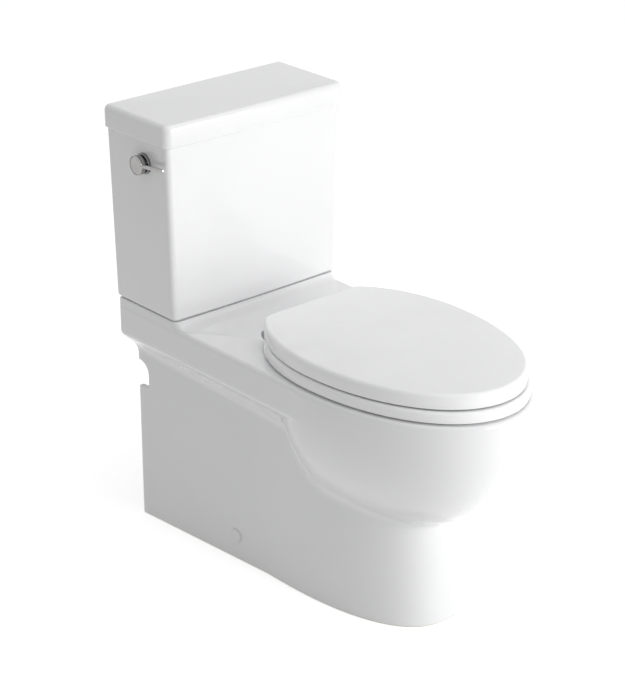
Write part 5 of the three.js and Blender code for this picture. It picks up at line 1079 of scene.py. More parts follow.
def tank_plan(z, inset):
    share = (z - tank_base) / TANK_HEIGHT
    half = TANK_BASE_HALF_WIDTH + (TANK_TOP_HALF_WIDTH - TANK_BASE_HALF_WIDTH) * share
    return rounded_plan(
        half - inset, -TANK_FRONT + TANK_FRONT_TAPER * (1 - share) + inset, tank_rear - inset,
        max(TANK_FRONT_RADIUS - inset, TANK_INNER_RADIUS),
        max(TANK_REAR_RADIUS - inset, TANK_INNER_RADIUS), z, TANK_FRONT_BOW,
    )


def rounded_foot(radius, plan, base):
    turns = np.linspace(0, math.pi / 2, ROUND_STEPS + 2)
    return [plan(base + radius * (1 - math.cos(t)), radius * (1 - math.sin(t))) for t in turns]


def tank_body():
    levels = np.linspace(tank_base + TANK_BASE_RADIUS, tank_top, TANK_ROWS)[1:]
    middle_rows = [tank_plan(z, 0) for z in levels]
    outer = loft("tank", rounded_foot(TANK_BASE_RADIUS, tank_plan, tank_base) + middle_rows)

    def inside(z, inset):
        return tank_plan(z, TANK_WALL + inset / 2)

    inner = loft("inner", [
        *rounded_foot(TANK_BASE_RADIUS / 2, inside, tank_floor_top),
        tank_plan(tank_top + OVERRUN, TANK_WALL),
    ])

    def hole(radius, x, y):
        return disc(radius, tank_base - OVERRUN, tank_floor_top + OVERRUN, (x, y, 0))

    return cut(
        outer,
        inner,
        hole(VALVE_SHANK_RADIUS + SLACK, 0, FLUSH_Y),
        hole(FILL_SHANK_RADIUS + SLACK, -FILL_X, FILL_Y),
        hole(TANK_BOLT_HOLE_RADIUS, -TANK_BOLT_X, FLUSH_Y),
        hole(TANK_BOLT_HOLE_RADIUS, TANK_BOLT_X, FLUSH_Y),
        disc(
            LEVER_THREAD_RADIUS + RUN_GAP, -TANK_WALL, TANK_WALL * 2,
            (-lever_wall, LEVER_Y, lever_z), along_x,
        ),
    )


def lid_plan(z, inset):
    return rounded_plan(
        TANK_TOP_HALF_WIDTH + LID_OVERHANG - inset, -TANK_FRONT - LID_OVERHANG + inset,
        tank_rear + LID_REAR_OVERHANG - inset, TANK_FRONT_RADIUS + LID_OVERHANG - inset,
        TANK_REAR_RADIUS + LID_REAR_OVERHANG - inset,
        z, TANK_FRONT_BOW,
    )


def tank_lid_body(edge):
    top = lid_base + LID_HEIGHT
    crest = [
        lid_plan(top - edge * (1 - math.sin(t)), edge * (1 - math.cos(t)))
        for t in np.linspace(0, math.pi / 2, ROUND_STEPS + 4)
    ]
    body = loft("tank_lid", rounded_foot(LID_FOOT_RADIUS, lid_plan, lid_base) + crest)

    def rib(z):
        return [(x, y, z) for x, y, _ in tank_plan(tank_top, TANK_WALL + SLACK)]

    def recess(z):
        return rounded_plan(
            TANK_TOP_HALF_WIDTH + LID_OVERHANG - LID_RIM, -TANK_FRONT - LID_OVERHANG + LID_RIM,
            DECK_REAR - LID_RIM, TANK_REAR_RADIUS / 2, TANK_REAR_RADIUS / 2, z,
        )

    body = joined(body, loft("rib", [rib(lid_base - LID_RIB_DROP), rib(lid_base + LID_FOOT_RADIUS * 2)]))
    return cut(body, loft("recess", [recess(lid_base - LID_RIB_DROP - OVERRUN), recess(top - LID_TOP_WALL)]))


# Seat

def ring_outer_field(x, y):
    reach = np.where(y < -SEAT_CENTRE, RING_LENGTH, RING_REAR_LENGTH)
    around = oval_field(x, y + SEAT_CENTRE, RING_HALF_WIDTH, reach, SEAT_OUTLINE_POWER)
    return blend_max(around, y + HINGE_Y + RING_TO_HINGE, RING_CORNER_BLEND)


def ring_inner_field(x, y):
    reach = np.where(y < -SEAT_CENTRE, RING_INNER_LENGTH, RING_INNER_REAR_LENGTH)
    return oval_field(x, y + SEAT_CENTRE, RING_INNER_HALF_WIDTH, reach, SEAT_OUTLINE_POWER)


def cover_field(x, y):
    reach = np.where(y < -SEAT_CENTRE, COVER_LENGTH, COVER_REAR_LENGTH)
    around = oval_field(x, y + SEAT_CENTRE, COVER_HALF_WIDTH, reach, SEAT_OUTLINE_POWER)
    return blend_max(around, y + HINGE_Y - COVER_BEHIND_HINGE, COVER_CORNER_BLEND)


def seat_outline(field, value, turns):
    reach = cast(
        field, np.zeros_like(turns), np.full_like(turns, -SEAT_CENTRE),
        np.cos(turns), np.sin(turns), value, RING_LENGTH * 2,
    )
    return reach * np.cos(turns), -SEAT_CENTRE + reach * np.sin(turns)


def seat_turns():
    return -math.pi / 2 + 2 * math.pi * np.arange(SEAT_STEPS) / SEAT_STEPS


def ring_middle(share):
    turn = np.array([-math.pi / 2 + 2 * math.pi * share])
    outer = seat_outline(ring_outer_field, 0, turn)
    inner = seat_outline(ring_inner_field, 0, turn)
    return float(outer[0][0] + inner[0][0]) / 2, float(outer[1][0] + inner[1][0]) / 2


def edge_stops(field, radius, top, side):
    """A quarter round between an upright face and a level top: (field, inset, height) stops."""
    turns = np.linspace(0, math.pi / 2, ROUND_STEPS + 1)
    if side < 0:
        turns = turns[::-1]
    sign = -1 if side > 0 else 1
    return [(
        field, sign * radius * (1 - math.cos(t)), top - radius * (1 - math.sin(t)),
    ) for t in turns]


def seat_ring_band():
    groove_roof = ring_base + RING_GROOVE_DEPTH
    inner_top = ring_top - RING_DISH
    foot = RING_FOOT_EDGE
    soft = foot * SOFT_FOOT_SHARE
    section = [
        (ring_outer_field, -foot, ring_base),
        (ring_outer_field, -soft, ring_base + soft),
        (ring_outer_field, 0, ring_base + foot),
        *edge_stops(ring_outer_field, RING_EDGE, ring_top, 1),
        *edge_stops(ring_inner_field, RING_EDGE, inner_top, -1),
        (ring_inner_field, 0, ring_base + foot),
        (ring_inner_field, soft, ring_base + soft),
        (ring_inner_field, foot, ring_base),
        (ring_inner_field, RING_GROOVE_WALL, ring_base),
        (ring_inner_field, RING_GROOVE_WALL, groove_roof),
        (ring_outer_field, -RING_GROOVE_WALL, groove_roof),
        (ring_outer_field, -RING_GROOVE_WALL, ring_base),
    ]
    turns = seat_turns()
    columns = []
    for field, value, z in section:
        x, y = seat_outline(field, value, turns)
        columns.append(np.stack([x, y, np.full_like(x, z)], axis=1))
    return looped("seat_ring", np.stack(columns, axis=1))


def hinge_lug(x0, x1, tongue, edge):
    """A barrel round the hinge axis with a tongue to what it carries."""
    turn = np.linspace(0, 2 * math.pi, SIDES, endpoint=False)
    barrel = [(
        hinge_y + HINGE_BARREL_RADIUS * math.cos(t), hinge_z + HINGE_BARREL_RADIUS * math.sin(t),
    ) for t in turn]
    return joined(
        pulled_along_x("barrel", barrel, x0, x1, edge),
        pulled_along_x("tongue", tongue, x0, x1, edge),
    )


def hinge_bore(x0, x1):
    return disc(HINGE_PIN_RADIUS + RUN_GAP, x0 - OVERRUN, x1 + OVERRUN, (0, hinge_y, hinge_z), along_x)


def both_sides(made):
    return [made, mirrored(made, made.name)]


def seat_ring_body():
    reach = hinge_y - RING_TO_HINGE - RING_GROOVE_WALL / 2
    tongue = [
        (reach, ring_base + RING_FOOT_EDGE),
        (hinge_y, hinge_z - HINGE_BARREL_RADIUS),
        (hinge_y, hinge_z + HINGE_BARREL_RADIUS / 2),
        (reach, ring_top - RING_EDGE / 2),
    ]
    roof = ring_base + RING_GROOVE_DEPTH
    sockets = []
    for share in RING_BUMPER_SHARES:
        x, y = ring_middle(share)
        sockets.append(disc(BUMPER_STEM_RADIUS + RUN_GAP, roof - OVERRUN, roof + BUMPER_STEM, (x, y, 0)))
    lug = hinge_lug(ring_lug_inner, ring_lug_outer, tongue, POST_EDGE)
    body = joined(seat_ring_band(), *both_sides(lug))
    return cut(body, *both_sides(hinge_bore(ring_lug_inner, ring_lug_outer)), *sockets)


def cover_rows(inset, base, top, foot, crown):
    turns = seat_turns()

    def ring(value, z):
        x, y = seat_outline(cover_field, -value, turns)
        return np.stack([x, y, np.full_like(x, z)], axis=1)

    rows = [ring(inset, base)]
    if foot > 0:
        soft = foot * SOFT_FOOT_SHARE
        rows = [ring(inset + foot, base), ring(inset + soft, base + soft), ring(inset, base + foot)]
    for t in np.linspace(0, math.pi / 2, ROUND_STEPS + 2):
        rows.append(ring(inset + COVER_EDGE * (1 - math.cos(t)), top - COVER_EDGE * (1 - math.sin(t))))
    brow = rows[-1]
    centre = np.array([0, -SEAT_CENTRE, 0])
    for share in np.linspace(1, 0, CROWN_ROWS, endpoint=False)[1:]:
        row = centre + (brow - centre) * np.array([share, share, 1])
        row[:, 2] = top + crown * (1 - share ** 2)
        rows.append(row)
    return rows


def seat_lid_body(crown):
    shell = cut(
        loft("seat_lid", cover_rows(0, cover_base, cover_top, COVER_FOOT_EDGE, crown)),
        loft("inner", cover_rows(COVER_WALL, cover_base - OVERRUN, cover_top - COVER_WALL, 0, crown)),
    )
    back = hinge_y + COVER_BEHIND_HINGE
    front = hinge_y - HINGE_BARREL_RADIUS
    tongue = [
        (front, hinge_z),
        (back - COVER_FOOT_EDGE, hinge_z),
        (back - COVER_FOOT_EDGE, cover_top - COVER_EDGE),
        (front, cover_top - COVER_EDGE),
    ]
    lug = hinge_lug(cover_lug_inner, cover_lug_outer, tongue, POST_EDGE)
    places = [ring_middle(share) for share in COVER_BUMPER_SHARES]
    bosses = []
    sockets = []
    for x, y in places:
        bosses.append(disc(COVER_BOSS_RADIUS, cover_boss_base, cover_top - COVER_WALL / 2, (x, y, 0)))
        sockets.append(disc(
            COVER_BUMPER_STEM_RADIUS + RUN_GAP, cover_boss_base - OVERRUN,
            cover_boss_base + BUMPER_STEM, (x, y, 0),
        ))
    body = joined(shell, *both_sides(lug), *bosses)
    return cut(body, *both_sides(hinge_bore(cover_lug_inner, cover_lug_outer)), *sockets)


# Hinges

def hinge_post_body():
    foot = RIM_HEIGHT + TOUCH_GAP
    half = POST_DEPTH / 2
    waist = HINGE_BARREL_RADIUS
    shoulder = foot + POST_FOOT_HEIGHT
    brow = shoulder - POST_FLANGE_HEIGHT
    profile = [
        (hinge_y - half, foot), (hinge_y + half, foot), (hinge_y + half, brow), (hinge_y + waist, shoulder),
    ]
    profile += [(
        hinge_y + waist * math.cos(t), hinge_z + waist * math.sin(t),
    ) for t in np.linspace(0, math.pi, SMALL_SIDES)]
    profile += [(hinge_y - waist, shoulder), (hinge_y - half, brow)]
    head_base = RIM_HEIGHT + SEAT_BOLT_HEAD_ABOVE_RIM
    place = (hinge_bolt_x, hinge_y, 0)

    def slot(radius, z0, z1):
        return joined(
            disc(radius, z0, z1, place, sides=SMALL_SIDES),
            block(hinge_bolt_x - radius, hinge_bolt_x + radius, hinge_y, hinge_y + POST_DEPTH, z0, z1),
        )

    flange = turned("flange", rounded_corners(
        [(0, foot), (POST_FLANGE_RADIUS, foot), (POST_FLANGE_RADIUS, foot + POST_FLANGE_HEIGHT),
         (0, foot + POST_FLANGE_HEIGHT)],
        [0, 0, POST_EDGE, 0],
    ), place)
    return cut(
        joined(pulled_along_x("hinge_post", profile, post_inner, post_outer, POST_EDGE), flange),
        hinge_bore(post_inner, post_outer),
        slot(SEAT_BOLT_HEAD_RADIUS + RUN_GAP, head_base, head_base + SEAT_BOLT_HEAD + TOUCH_GAP * 2),
        slot(SEAT_BOLT_RADIUS + RUN_GAP, foot - OVERRUN, head_base + TOUCH_GAP),
    )


def hinge_pin_body():
    cap_start = ring_lug_outer + TOUCH_GAP
    profile = rounded_corners([
        (0, cover_lug_inner),
        (HINGE_PIN_RADIUS, cover_lug_inner),
        (HINGE_PIN_RADIUS, cap_start),
        (HINGE_BARREL_RADIUS, cap_start),
        (HINGE_BARREL_RADIUS, cap_start + PIN_CAP),
        (0, cap_start + PIN_CAP),
    ], [0, COVER_FOOT_EDGE, 0, TOUCH_GAP, POST_EDGE, 0])
    return turned("hinge_pin", profile, (0, hinge_y, hinge_z), along_x)


# Trip lever

def escutcheon_body():
    inner = lever_wall + TOUCH_GAP
    bore = LEVER_SHAFT_RADIUS + RUN_GAP
    profile = rounded_corners([
        (bore, -inner - ESCUTCHEON),
        (ESCUTCHEON_RADIUS, -inner - ESCUTCHEON),
        (ESCUTCHEON_RADIUS, -inner + ESCUTCHEON),
        (LEVER_THREAD_RADIUS, -inner + ESCUTCHEON),
        (LEVER_THREAD_RADIUS, -inner + LEVER_THREAD_LENGTH),
        (bore, -inner + LEVER_THREAD_LENGTH),
    ], [0, ESCUTCHEON / 2, 0, 0, RUN_GAP, 0])
    plate = turned("escutcheon", profile, (0, LEVER_Y, lever_z), along_x, SIDES * 2)
    wide = DECK_REAR
    lean = math.tan(wall_lean)
    outline = [(-TOUCH_GAP + wide * lean, -wide), (ESCUTCHEON * 2 + wide * lean, -wide),
               (ESCUTCHEON * 2 - wide * lean, wide), (-TOUCH_GAP - wide * lean, wide)]
    rows = [[(x - lever_wall, y + LEVER_Y, z + lever_z) for x, z in outline] for y in (-wide, wide)]
    wall = cut(loft("wall", rows), disc(
        LEVER_THREAD_RADIUS, -OVERRUN * 2, ESCUTCHEON * 4,
        (-lever_wall, LEVER_Y, lever_z), along_x, SIDES * 2,
    ))
    return cut(plate, wall)


def lever_handle_body(knob_radius):
    shaft_end = lever_inner_end + LEVER_HUB * LEVER_HUB_SHARE
    face = knob_inner - KNOB
    shares = np.linspace(0, KNOB_DISH_SHARE, CROWN_STEPS)[1:]
    dish = [(knob_radius * share, face + KNOB_DISH * (1 - share ** 2)) for share in shares]
    profile = [(0, dish[0][1]), *dish] + rounded_corners([
        (knob_radius, face),
        (knob_radius, knob_inner),
        (LEVER_NECK_RADIUS, knob_inner),
        (LEVER_NECK_RADIUS, lever_face),
        (LEVER_SHAFT_RADIUS, lever_face),
        (LEVER_SHAFT_RADIUS, shaft_end),
    ], [KNOB_EDGE * 2, KNOB_EDGE, KNOB_EDGE, 0, 0, 0]) + [(0, shaft_end)]
    body = turned("lever_handle", profile, (0, LEVER_Y, lever_z), along_x, SIDES * 2)
    grip_profile = rounded_corners([
        (0, 0), (LEVER_ROD_RADIUS, 0), (LEVER_ROD_RADIUS, LEVER_ROD_LENGTH), (0, LEVER_ROD_LENGTH),
    ], [0, 0, KNOB_EDGE * 1.5, 0])

    def lay(points):
        x, y, z = np.moveaxis(points, -1, 0)
        along, rise = math.cos(LEVER_ROD_LIFT), math.sin(LEVER_ROD_LIFT)
        return np.stack([x, -z * along - y * rise, z * rise - y * along], axis=-1)

    grip = turned("grip", grip_profile, (knob_inner - KNOB / 2, LEVER_Y, lever_z), lay, SMALL_SIDES)
    return joined(body, grip)


# Floor caps

def floor_cap_body(side):
    inner = TOUCH_GAP
    outer = inner + CAP
    flat = CAP_RADIUS - CAP_WALL
    shares = np.linspace(0, 1, CROWN_STEPS)[1:]
    crown = [(flat * share, outer - CAP_CROWN * share ** 2) for share in shares]
    profile = [
        (0, inner + CAP - CAP_WALL - CAP_CROWN),
        (flat, inner + CAP - CAP_WALL - CAP_CROWN),
        (flat, inner),
        (CAP_RADIUS, inner),
        (CAP_RADIUS, outer - CAP_CROWN - CAP_WALL),
        *reversed(crown),
        (0, outer),
    ]
    return turned("floor_cap", profile, lay=at_fixing(side), sides=SIDES * 2)


# Geometry Nodes: soft bumpers on points, and threads on shanks

def node_tree(name, inputs):
    """A new tree with named number inputs and a mesh input and output."""
    tree = bpy.data.node_groups.new(name, "GeometryNodeTree")
    tree.interface.new_socket("Geometry", in_out="INPUT", socket_type="NodeSocketGeometry")
    for label, default in inputs:
        made = tree.interface.new_socket(label, in_out="INPUT", socket_type="NodeSocketFloat")
        made.default_value = default
        made.subtype = "DISTANCE"
    tree.interface.new_socket("Finish", in_out="INPUT", socket_type="NodeSocketMaterial")
    tree.interface.new_socket("Geometry", in_out="OUTPUT", socket_type="NodeSocketGeometry")
    return tree, tree.nodes.new("NodeGroupInput"), tree.nodes.new("NodeGroupOutput")


def lifted(tree, geometry, height):
    """The geometry moved up by a height socket."""
    place = tree.nodes.new("ShaderNodeCombineXYZ")
    tree.links.new(height, place.inputs["Z"])
    move = tree.nodes.new("GeometryNodeTransform")
    tree.links.new(geometry, move.inputs["Geometry"])
    tree.links.new(place.outputs[0], move.inputs["Translation"])
    return move.outputs["Geometry"]


def turned_in_nodes(tree, radius_top, radius_bottom, depth):
    cone = tree.nodes.new("GeometryNodeMeshCone")
    cone.inputs["Vertices"].default_value = SMALL_SIDES
    tree.links.new(radius_top, cone.inputs["Radius Top"])
    tree.links.new(radius_bottom, cone.inputs["Radius Bottom"])
    tree.links.new(depth, cone.inputs["Depth"])
    return cone.outputs["Mesh"]


def less(tree, a, b):
    taken = tree.nodes.new("ShaderNodeMath")
    taken.operation = "SUBTRACT"
    tree.links.new(a, taken.inputs[0])
    tree.links.new(b, taken.inputs[1])
    return taken.outputs[0]


def bumper_tree():
    """A bevelled foot, a pad and a stem on every point of the mesh it is given."""
    tree, given, result = node_tree("soft_bumper", [
        ("Radius", BUMPER_RADIUS * MILLIMETRE), ("Height", RING_GROOVE_DEPTH * MILLIMETRE),
        ("Stem Radius", BUMPER_STEM_RADIUS * MILLIMETRE), ("Stem Height", BUMPER_STEM * MILLIMETRE),
        ("Edge", BUMPER_EDGE * MILLIMETRE),
    ])
    value = given.outputs
    narrow = less(tree, value["Radius"], value["Edge"])
    pad_height = less(tree, value["Height"], value["Edge"])
    foot = turned_in_nodes(tree, value["Radius"], narrow, value["Edge"])
    pad = lifted(tree, turned_in_nodes(tree, value["Radius"], value["Radius"], pad_height), value["Edge"])
    stem_mesh = turned_in_nodes(tree, value["Stem Radius"], value["Stem Radius"], value["Stem Height"])
    stem = lifted(tree, stem_mesh, value["Height"])
    whole = tree.nodes.new("GeometryNodeJoinGeometry")
    for part in (foot, pad, stem):
        tree.links.new(part, whole.inputs[0])
    spread = tree.nodes.new("GeometryNodeInstanceOnPoints")
    tree.links.new(value["Geometry"], spread.inputs["Points"])
    tree.links.new(whole.outputs[0], spread.inputs["Instance"])
    return realized(tree, spread.outputs["Instances"], value["Finish"], result)


def realized(tree, instances, finish, result):
    """Ends a tree in Realize Instances and Set Material."""
    real = tree.nodes.new("GeometryNodeRealizeInstances")
    paint = tree.nodes.new("GeometryNodeSetMaterial")
    tree.links.new(instances, real.inputs["Geometry"])
    tree.links.new(real.outputs[0], paint.inputs["Geometry"])
    tree.links.new(finish, paint.inputs["Material"])
    tree.links.new(paint.outputs[0], result.inputs["Geometry"])
    return tree


def thread_tree():
    """A fine ridge that winds round every point's upright shank."""
    tree, given, result = node_tree("thread", [
        ("Radius", TANK_BOLT_RADIUS * MILLIMETRE), ("Height", BOLT_END * MILLIMETRE),
        ("Turns", BOLT_END / THREAD_PITCH), ("Depth", THREAD_DEPTH * MILLIMETRE),
    ])
    value = given.outputs
    winding = tree.nodes.new("GeometryNodeCurveSpiral")
    winding.inputs["Resolution"].default_value = THREAD_STEPS_A_TURN
    tree.links.new(value["Turns"], winding.inputs["Rotations"])
    tree.links.new(value["Radius"], winding.inputs["Start Radius"])
    tree.links.new(value["Radius"], winding.inputs["End Radius"])
    tree.links.new(value["Height"], winding.inputs["Height"])
    section = tree.nodes.new("GeometryNodeCurvePrimitiveCircle")
    section.inputs["Resolution"].default_value = THREAD_SIDES
    tree.links.new(value["Depth"], section.inputs["Radius"])
    sweep = tree.nodes.new("GeometryNodeCurveToMesh")
    sweep.inputs["Fill Caps"].default_value = True
    tree.links.new(winding.outputs["Curve"], sweep.inputs["Curve"])
    tree.links.new(section.outputs["Curve"], sweep.inputs["Profile Curve"])
    spread = tree.nodes.new("GeometryNodeInstanceOnPoints")
    tree.links.new(value["Geometry"], spread.inputs["Points"])
    tree.links.new(sweep.outputs["Mesh"], spread.inputs["Instance"])
    return realized(tree, spread.outputs["Instances"], value["Finish"], result)


def grown(name, tree, places, values, material):
    """A plain mesh made by a tree on points at the given places, in millimetres."""
    mesh = bpy.data.meshes.new(name)
    mesh.from_pydata([[c * MILLIMETRE for c in place] for place in places], [], [])
    made = bpy.data.objects.new(name, mesh)
    bpy.context.scene.collection.objects.link(made)
    modifier = made.modifiers.new(name, "NODES")
    modifier.node_group = tree
    settings = dict(values, Finish=material)
    for item in tree.interface.items_tree:
        if item.item_type == "SOCKET" and item.in_out == "INPUT" and item.name in settings:
            modifier[item.identifier] = settings[item.name]
    graph = bpy.context.evaluated_depsgraph_get()
    result = bpy.data.meshes.new_from_object(made.evaluated_get(graph))
    made.modifiers.clear()
    made.data = result
    bpy.data.meshes.remove(mesh)
    if not result.polygons:
        raise RuntimeError(f"{name} came out of its tree without faces")
    return made


# Finishes

def new_material(name):
    """A material with its shader and the place on the object, and nothing else yet."""
    material = bpy.data.materials.new(name)
    material.use_nodes = True
    nodes = material.node_tree.nodes
    place = nodes.new("ShaderNodeTexCoord")
    return material, nodes["Principled BSDF"], place.outputs["Object"]


def noise(material, place, scale, detail=3.0, roughness=0.5, distortion=0.0):
    node = material.node_tree.nodes.new("ShaderNodeTexNoise")
    node.inputs["Scale"].default_value = scale
    node.inputs["Detail"].default_value = detail
    node.inputs["Roughness"].default_value = roughness
    node.inputs["Distortion"].default_value = distortion
    material.node_tree.links.new(place, node.inputs["Vector"])
    return node.outputs["Fac"]


def ranged(material, source, low, high, start=0.3, end=0.7):
    node = material.node_tree.nodes.new("ShaderNodeMapRange")
    node.inputs["From Min"].default_value = start
    node.inputs["From Max"].default_value = end
    node.inputs["To Min"].default_value = low
    node.inputs["To Max"].default_value = high
    material.node_tree.links.new(source, node.inputs["Value"])
    return node.outputs["Result"]


def colour_mix(material, factor, first, second):
    """Two colours mixed by a factor; each is a plain colour or a socket."""
    node = material.node_tree.nodes.new("ShaderNodeMix")
    node.data_type = "RGBA"
    material.node_tree.links.new(factor, node.inputs["Factor"])
    for label, colour in (("A", first), ("B", second)):
        socket = next(s for s in node.inputs if s.name == label and s.type == "RGBA")
        if isinstance(colour, bpy.types.NodeSocket):
            material.node_tree.links.new(colour, socket)
        else:
            socket.default_value = (*colour, 1)
    return next(s for s in node.outputs if s.type == "RGBA")


def bumped(material, shader, heights, socket="Normal"):
    """Bump nodes in a chain: (height socket, distance in metres, strength) for each."""
    last = None
    for height, distance, strength in heights:
        node = material.node_tree.nodes.new("ShaderNodeBump")
        node.inputs["Distance"].default_value = distance
        node.inputs["Strength"].default_value = strength
        material.node_tree.links.new(height, node.inputs["Height"])
        if last is not None:
            material.node_tree.links.new(last, node.inputs["Normal"])
        last = node.outputs["Normal"]
    material.node_tree.links.new(last, shader.inputs[socket])


def shade(colour, share):
    return tuple(c * share for c in colour)


def height_above_floor(material, place, low, high):
    """0 below the low height and 1 above the high one, in metres."""
    parts = material.node_tree.nodes.new("ShaderNodeSeparateXYZ")
    material.node_tree.links.new(place, parts.inputs[0])
    return ranged(material, parts.outputs["Z"], 0, 1, low, high)


def glazed_china(name, settings, footed=False):
    """Fired china under a clear glaze that pools a little and shows fine specks."""
    material, shader, place = new_material(name)
    links = material.node_tree.links
    cloud = ranged(material, noise(material, place, 6, 4), 0, 1)
    colour = colour_mix(material, cloud, shade(settings.colour, 0.982), tuple(settings.colour))
    speck_field = material.node_tree.nodes.new("ShaderNodeTexVoronoi")
    speck_field.inputs["Scale"].default_value = 38
    links.new(place, speck_field.inputs["Vector"])
    speck = ranged(material, speck_field.outputs["Distance"], 1, 0, 0.012, 0.022)
    chosen = ranged(material, noise(material, place, 11, 2), 0, 0.35, 0.56, 0.6)
    both = material.node_tree.nodes.new("ShaderNodeMath")
    both.operation = "MULTIPLY"
    links.new(speck, both.inputs[0])
    links.new(chosen, both.inputs[1])
    colour = colour_mix(material, both.outputs[0], colour, shade(settings.clay_colour, 0.7))
    rough = settings.roughness
    sheen = ranged(material, noise(material, place, 18, 3), rough * 0.8, rough * 1.25)
    if footed:
        raised = height_above_floor(material, place, 0.0015, 0.0035)
        colour = colour_mix(material, raised, tuple(settings.clay_colour), colour)
        blend = material.node_tree.nodes.new("ShaderNodeMix")
        links.new(raised, blend.inputs["Factor"])
        blend.inputs["A"].default_value = CLAY_ROUGHNESS
        links.new(sheen, blend.inputs["B"])
        sheen = blend.outputs["Result"]
    links.new(colour, shader.inputs["Base Color"])
    links.new(sheen, shader.inputs["Roughness"])
    shader.inputs["IOR"].default_value = 1.5
    shader.inputs["Coat Weight"].default_value = 0.5
    shader.inputs["Coat Roughness"].default_value = 0.04
    bumped(material, shader, [
        (noise(material, place, 9, 2), 0.0012, 0.12),
        (noise(material, place, 160, 2), 0.0001, 0.1),
    ])
    return material


def moulded_plastic(name, colour, roughness, grain=900.0, depth=0.00002, coat=0.0):
    """Injection-moulded plastic: faint flow clouds and a fine tool grain."""
    material, shader, place = new_material(name)
    links = material.node_tree.links
    cloud = ranged(material, noise(material, place, 14, 3), 0, 1)
    links.new(colour_mix(material, cloud, shade(colour, 0.97), tuple(colour)), shader.inputs["Base Color"])
    sheen = ranged(material, noise(material, place, 60, 4), roughness * 0.96, roughness * 1.05)
    links.new(sheen, shader.inputs["Roughness"])
    shader.inputs["IOR"].default_value = 1.49
    shader.inputs["Coat Weight"].default_value = coat
    shader.inputs["Coat Roughness"].default_value = 0.08
    bumped(material, shader, [
        (noise(material, place, 22, 2), 0.0006, 0.05),
        (noise(material, place, grain, 2), depth, 0.05),
    ])
    return material


def plated_metal(name, colour, roughness):
    """Polished plating with the faint haze and hairlines of use."""
    material, shader, place = new_material(name)
    links = material.node_tree.links
    cloud = ranged(material, noise(material, place, 90, 3), 0, 1)
    links.new(colour_mix(material, cloud, shade(colour, 0.92), tuple(colour)), shader.inputs["Base Color"])
    haze = ranged(material, noise(material, place, 240, 5, 0.6, 0.4), roughness * 0.6, roughness * 1.6)
    links.new(haze, shader.inputs["Roughness"])
    shader.inputs["Metallic"].default_value = 1
    bumped(material, shader, [(noise(material, place, 1400, 3), 0.00001, 0.25)])
    return material


def worn_metal(name, colour, dark, roughness, grain=500.0):
    """Bare metal with turning marks and a little tarnish in its hollows."""
    material, shader, place = new_material(name)
    links = material.node_tree.links
    patch = ranged(material, noise(material, place, 130, 6, 0.6), 0, 1, 0.4, 0.7)
    links.new(colour_mix(material, patch, tuple(colour), tuple(dark)), shader.inputs["Base Color"])
    links.new(
        ranged(material, noise(material, place, 300, 4), roughness * 0.8, roughness * 1.5),
        shader.inputs["Roughness"],
    )
    shader.inputs["Metallic"].default_value = 1
    bumped(material, shader, [(noise(material, place, grain, 4), 0.00005, 0.4)])
    return material


def soft_rubber(name, colour, roughness, bloom=0.06):
    """Moulded rubber with a dusty bloom and a pebbled skin."""
    material, shader, place = new_material(name)
    links = material.node_tree.links
    dusty = tuple(c + bloom for c in colour)
    patch = ranged(material, noise(material, place, 45, 6, 0.65), 0, 1, 0.42, 0.72)
    links.new(colour_mix(material, patch, tuple(colour), dusty), shader.inputs["Base Color"])
    links.new(
        ranged(material, noise(material, place, 120, 4), roughness * 0.85, min(roughness * 1.15, 1)),
        shader.inputs["Roughness"],
    )
    bumped(material, shader, [(noise(material, place, 700, 3), 0.00006, 0.5)])
    return material


def floor_finish(colour, white):
    """A pale floor that keeps its shadows; the camera sees some white added."""
    material, shader, place = new_material("studio_floor")
    links = material.node_tree.links
    nodes = material.node_tree.nodes
    cloud = ranged(material, noise(material, place, 3, 2), 0, 1)
    links.new(colour_mix(material, cloud, shade(colour, 0.995), tuple(colour)), shader.inputs["Base Color"])
    shader.inputs["Roughness"].default_value = 0.9
    shader.inputs["Specular IOR Level"].default_value = 0.1
    seen = seen_directly(material.node_tree)
    strength = nodes.new("ShaderNodeMath")
    strength.operation = "MULTIPLY"
    links.new(seen, strength.inputs[0])
    strength.inputs[1].default_value = white
    shader.inputs["Emission Color"].default_value = (1, 1, 1, 1)
    links.new(strength.outputs[0], shader.inputs["Emission Strength"])
    return material


def seen_directly(tree):
    """1 for rays from the camera, reflections and glass, and 0 for light that falls on things."""
    path = tree.nodes.new("ShaderNodeLightPath")
    total = path.outputs["Is Camera Ray"]
    for label in ("Is Glossy Ray", "Is Transmission Ray"):
        either = tree.nodes.new("ShaderNodeMath")
        either.operation = "MAXIMUM"
        tree.links.new(total, either.inputs[0])
        tree.links.new(path.outputs[label], either.inputs[1])
        total = either.outputs[0]
    return total


# Stage

def lit_world(strength):
    world = bpy.data.worlds.new("studio")
    bpy.context.scene.world = world
    world.use_nodes = True
    tree = world.node_tree
    background = tree.nodes["Background"]
    background.inputs["Color"].default_value = (1, 1, 1, 1)
    mix = tree.nodes.new("ShaderNodeMapRange")
    mix.inputs["To Min"].default_value = strength
    mix.inputs["To Max"].default_value = 1
    tree.links.new(seen_directly(tree), mix.inputs["Value"])
    tree.links.new(mix.outputs["Result"], background.inputs["Strength"])


def area_lamp(name, place, size, power):
    data = bpy.data.lights.new(name, "AREA")
    data.shape = "SQUARE"
    data.size = size
    data.energy = power
    lamp = bpy.data.objects.new(name, data)
    lamp.location = place
    lamp.rotation_euler = (Vector(LAMP_AIM) - Vector(place)).to_track_quat("-Z", "Y").to_euler()
    bpy.context.scene.collection.objects.link(lamp)
    return lamp


def studio_floor(settings):
    far = FLOOR_REACH
    corners = [(-far, -far, 0), (far, -far, 0), (far, far, 0), (-far, far, 0)]
    made = solid("studio_floor", corners, [(0, 1, 2, 3)])
    made.data.materials.append(floor_finish(settings.floor_colour, settings.floor_white))
    return made


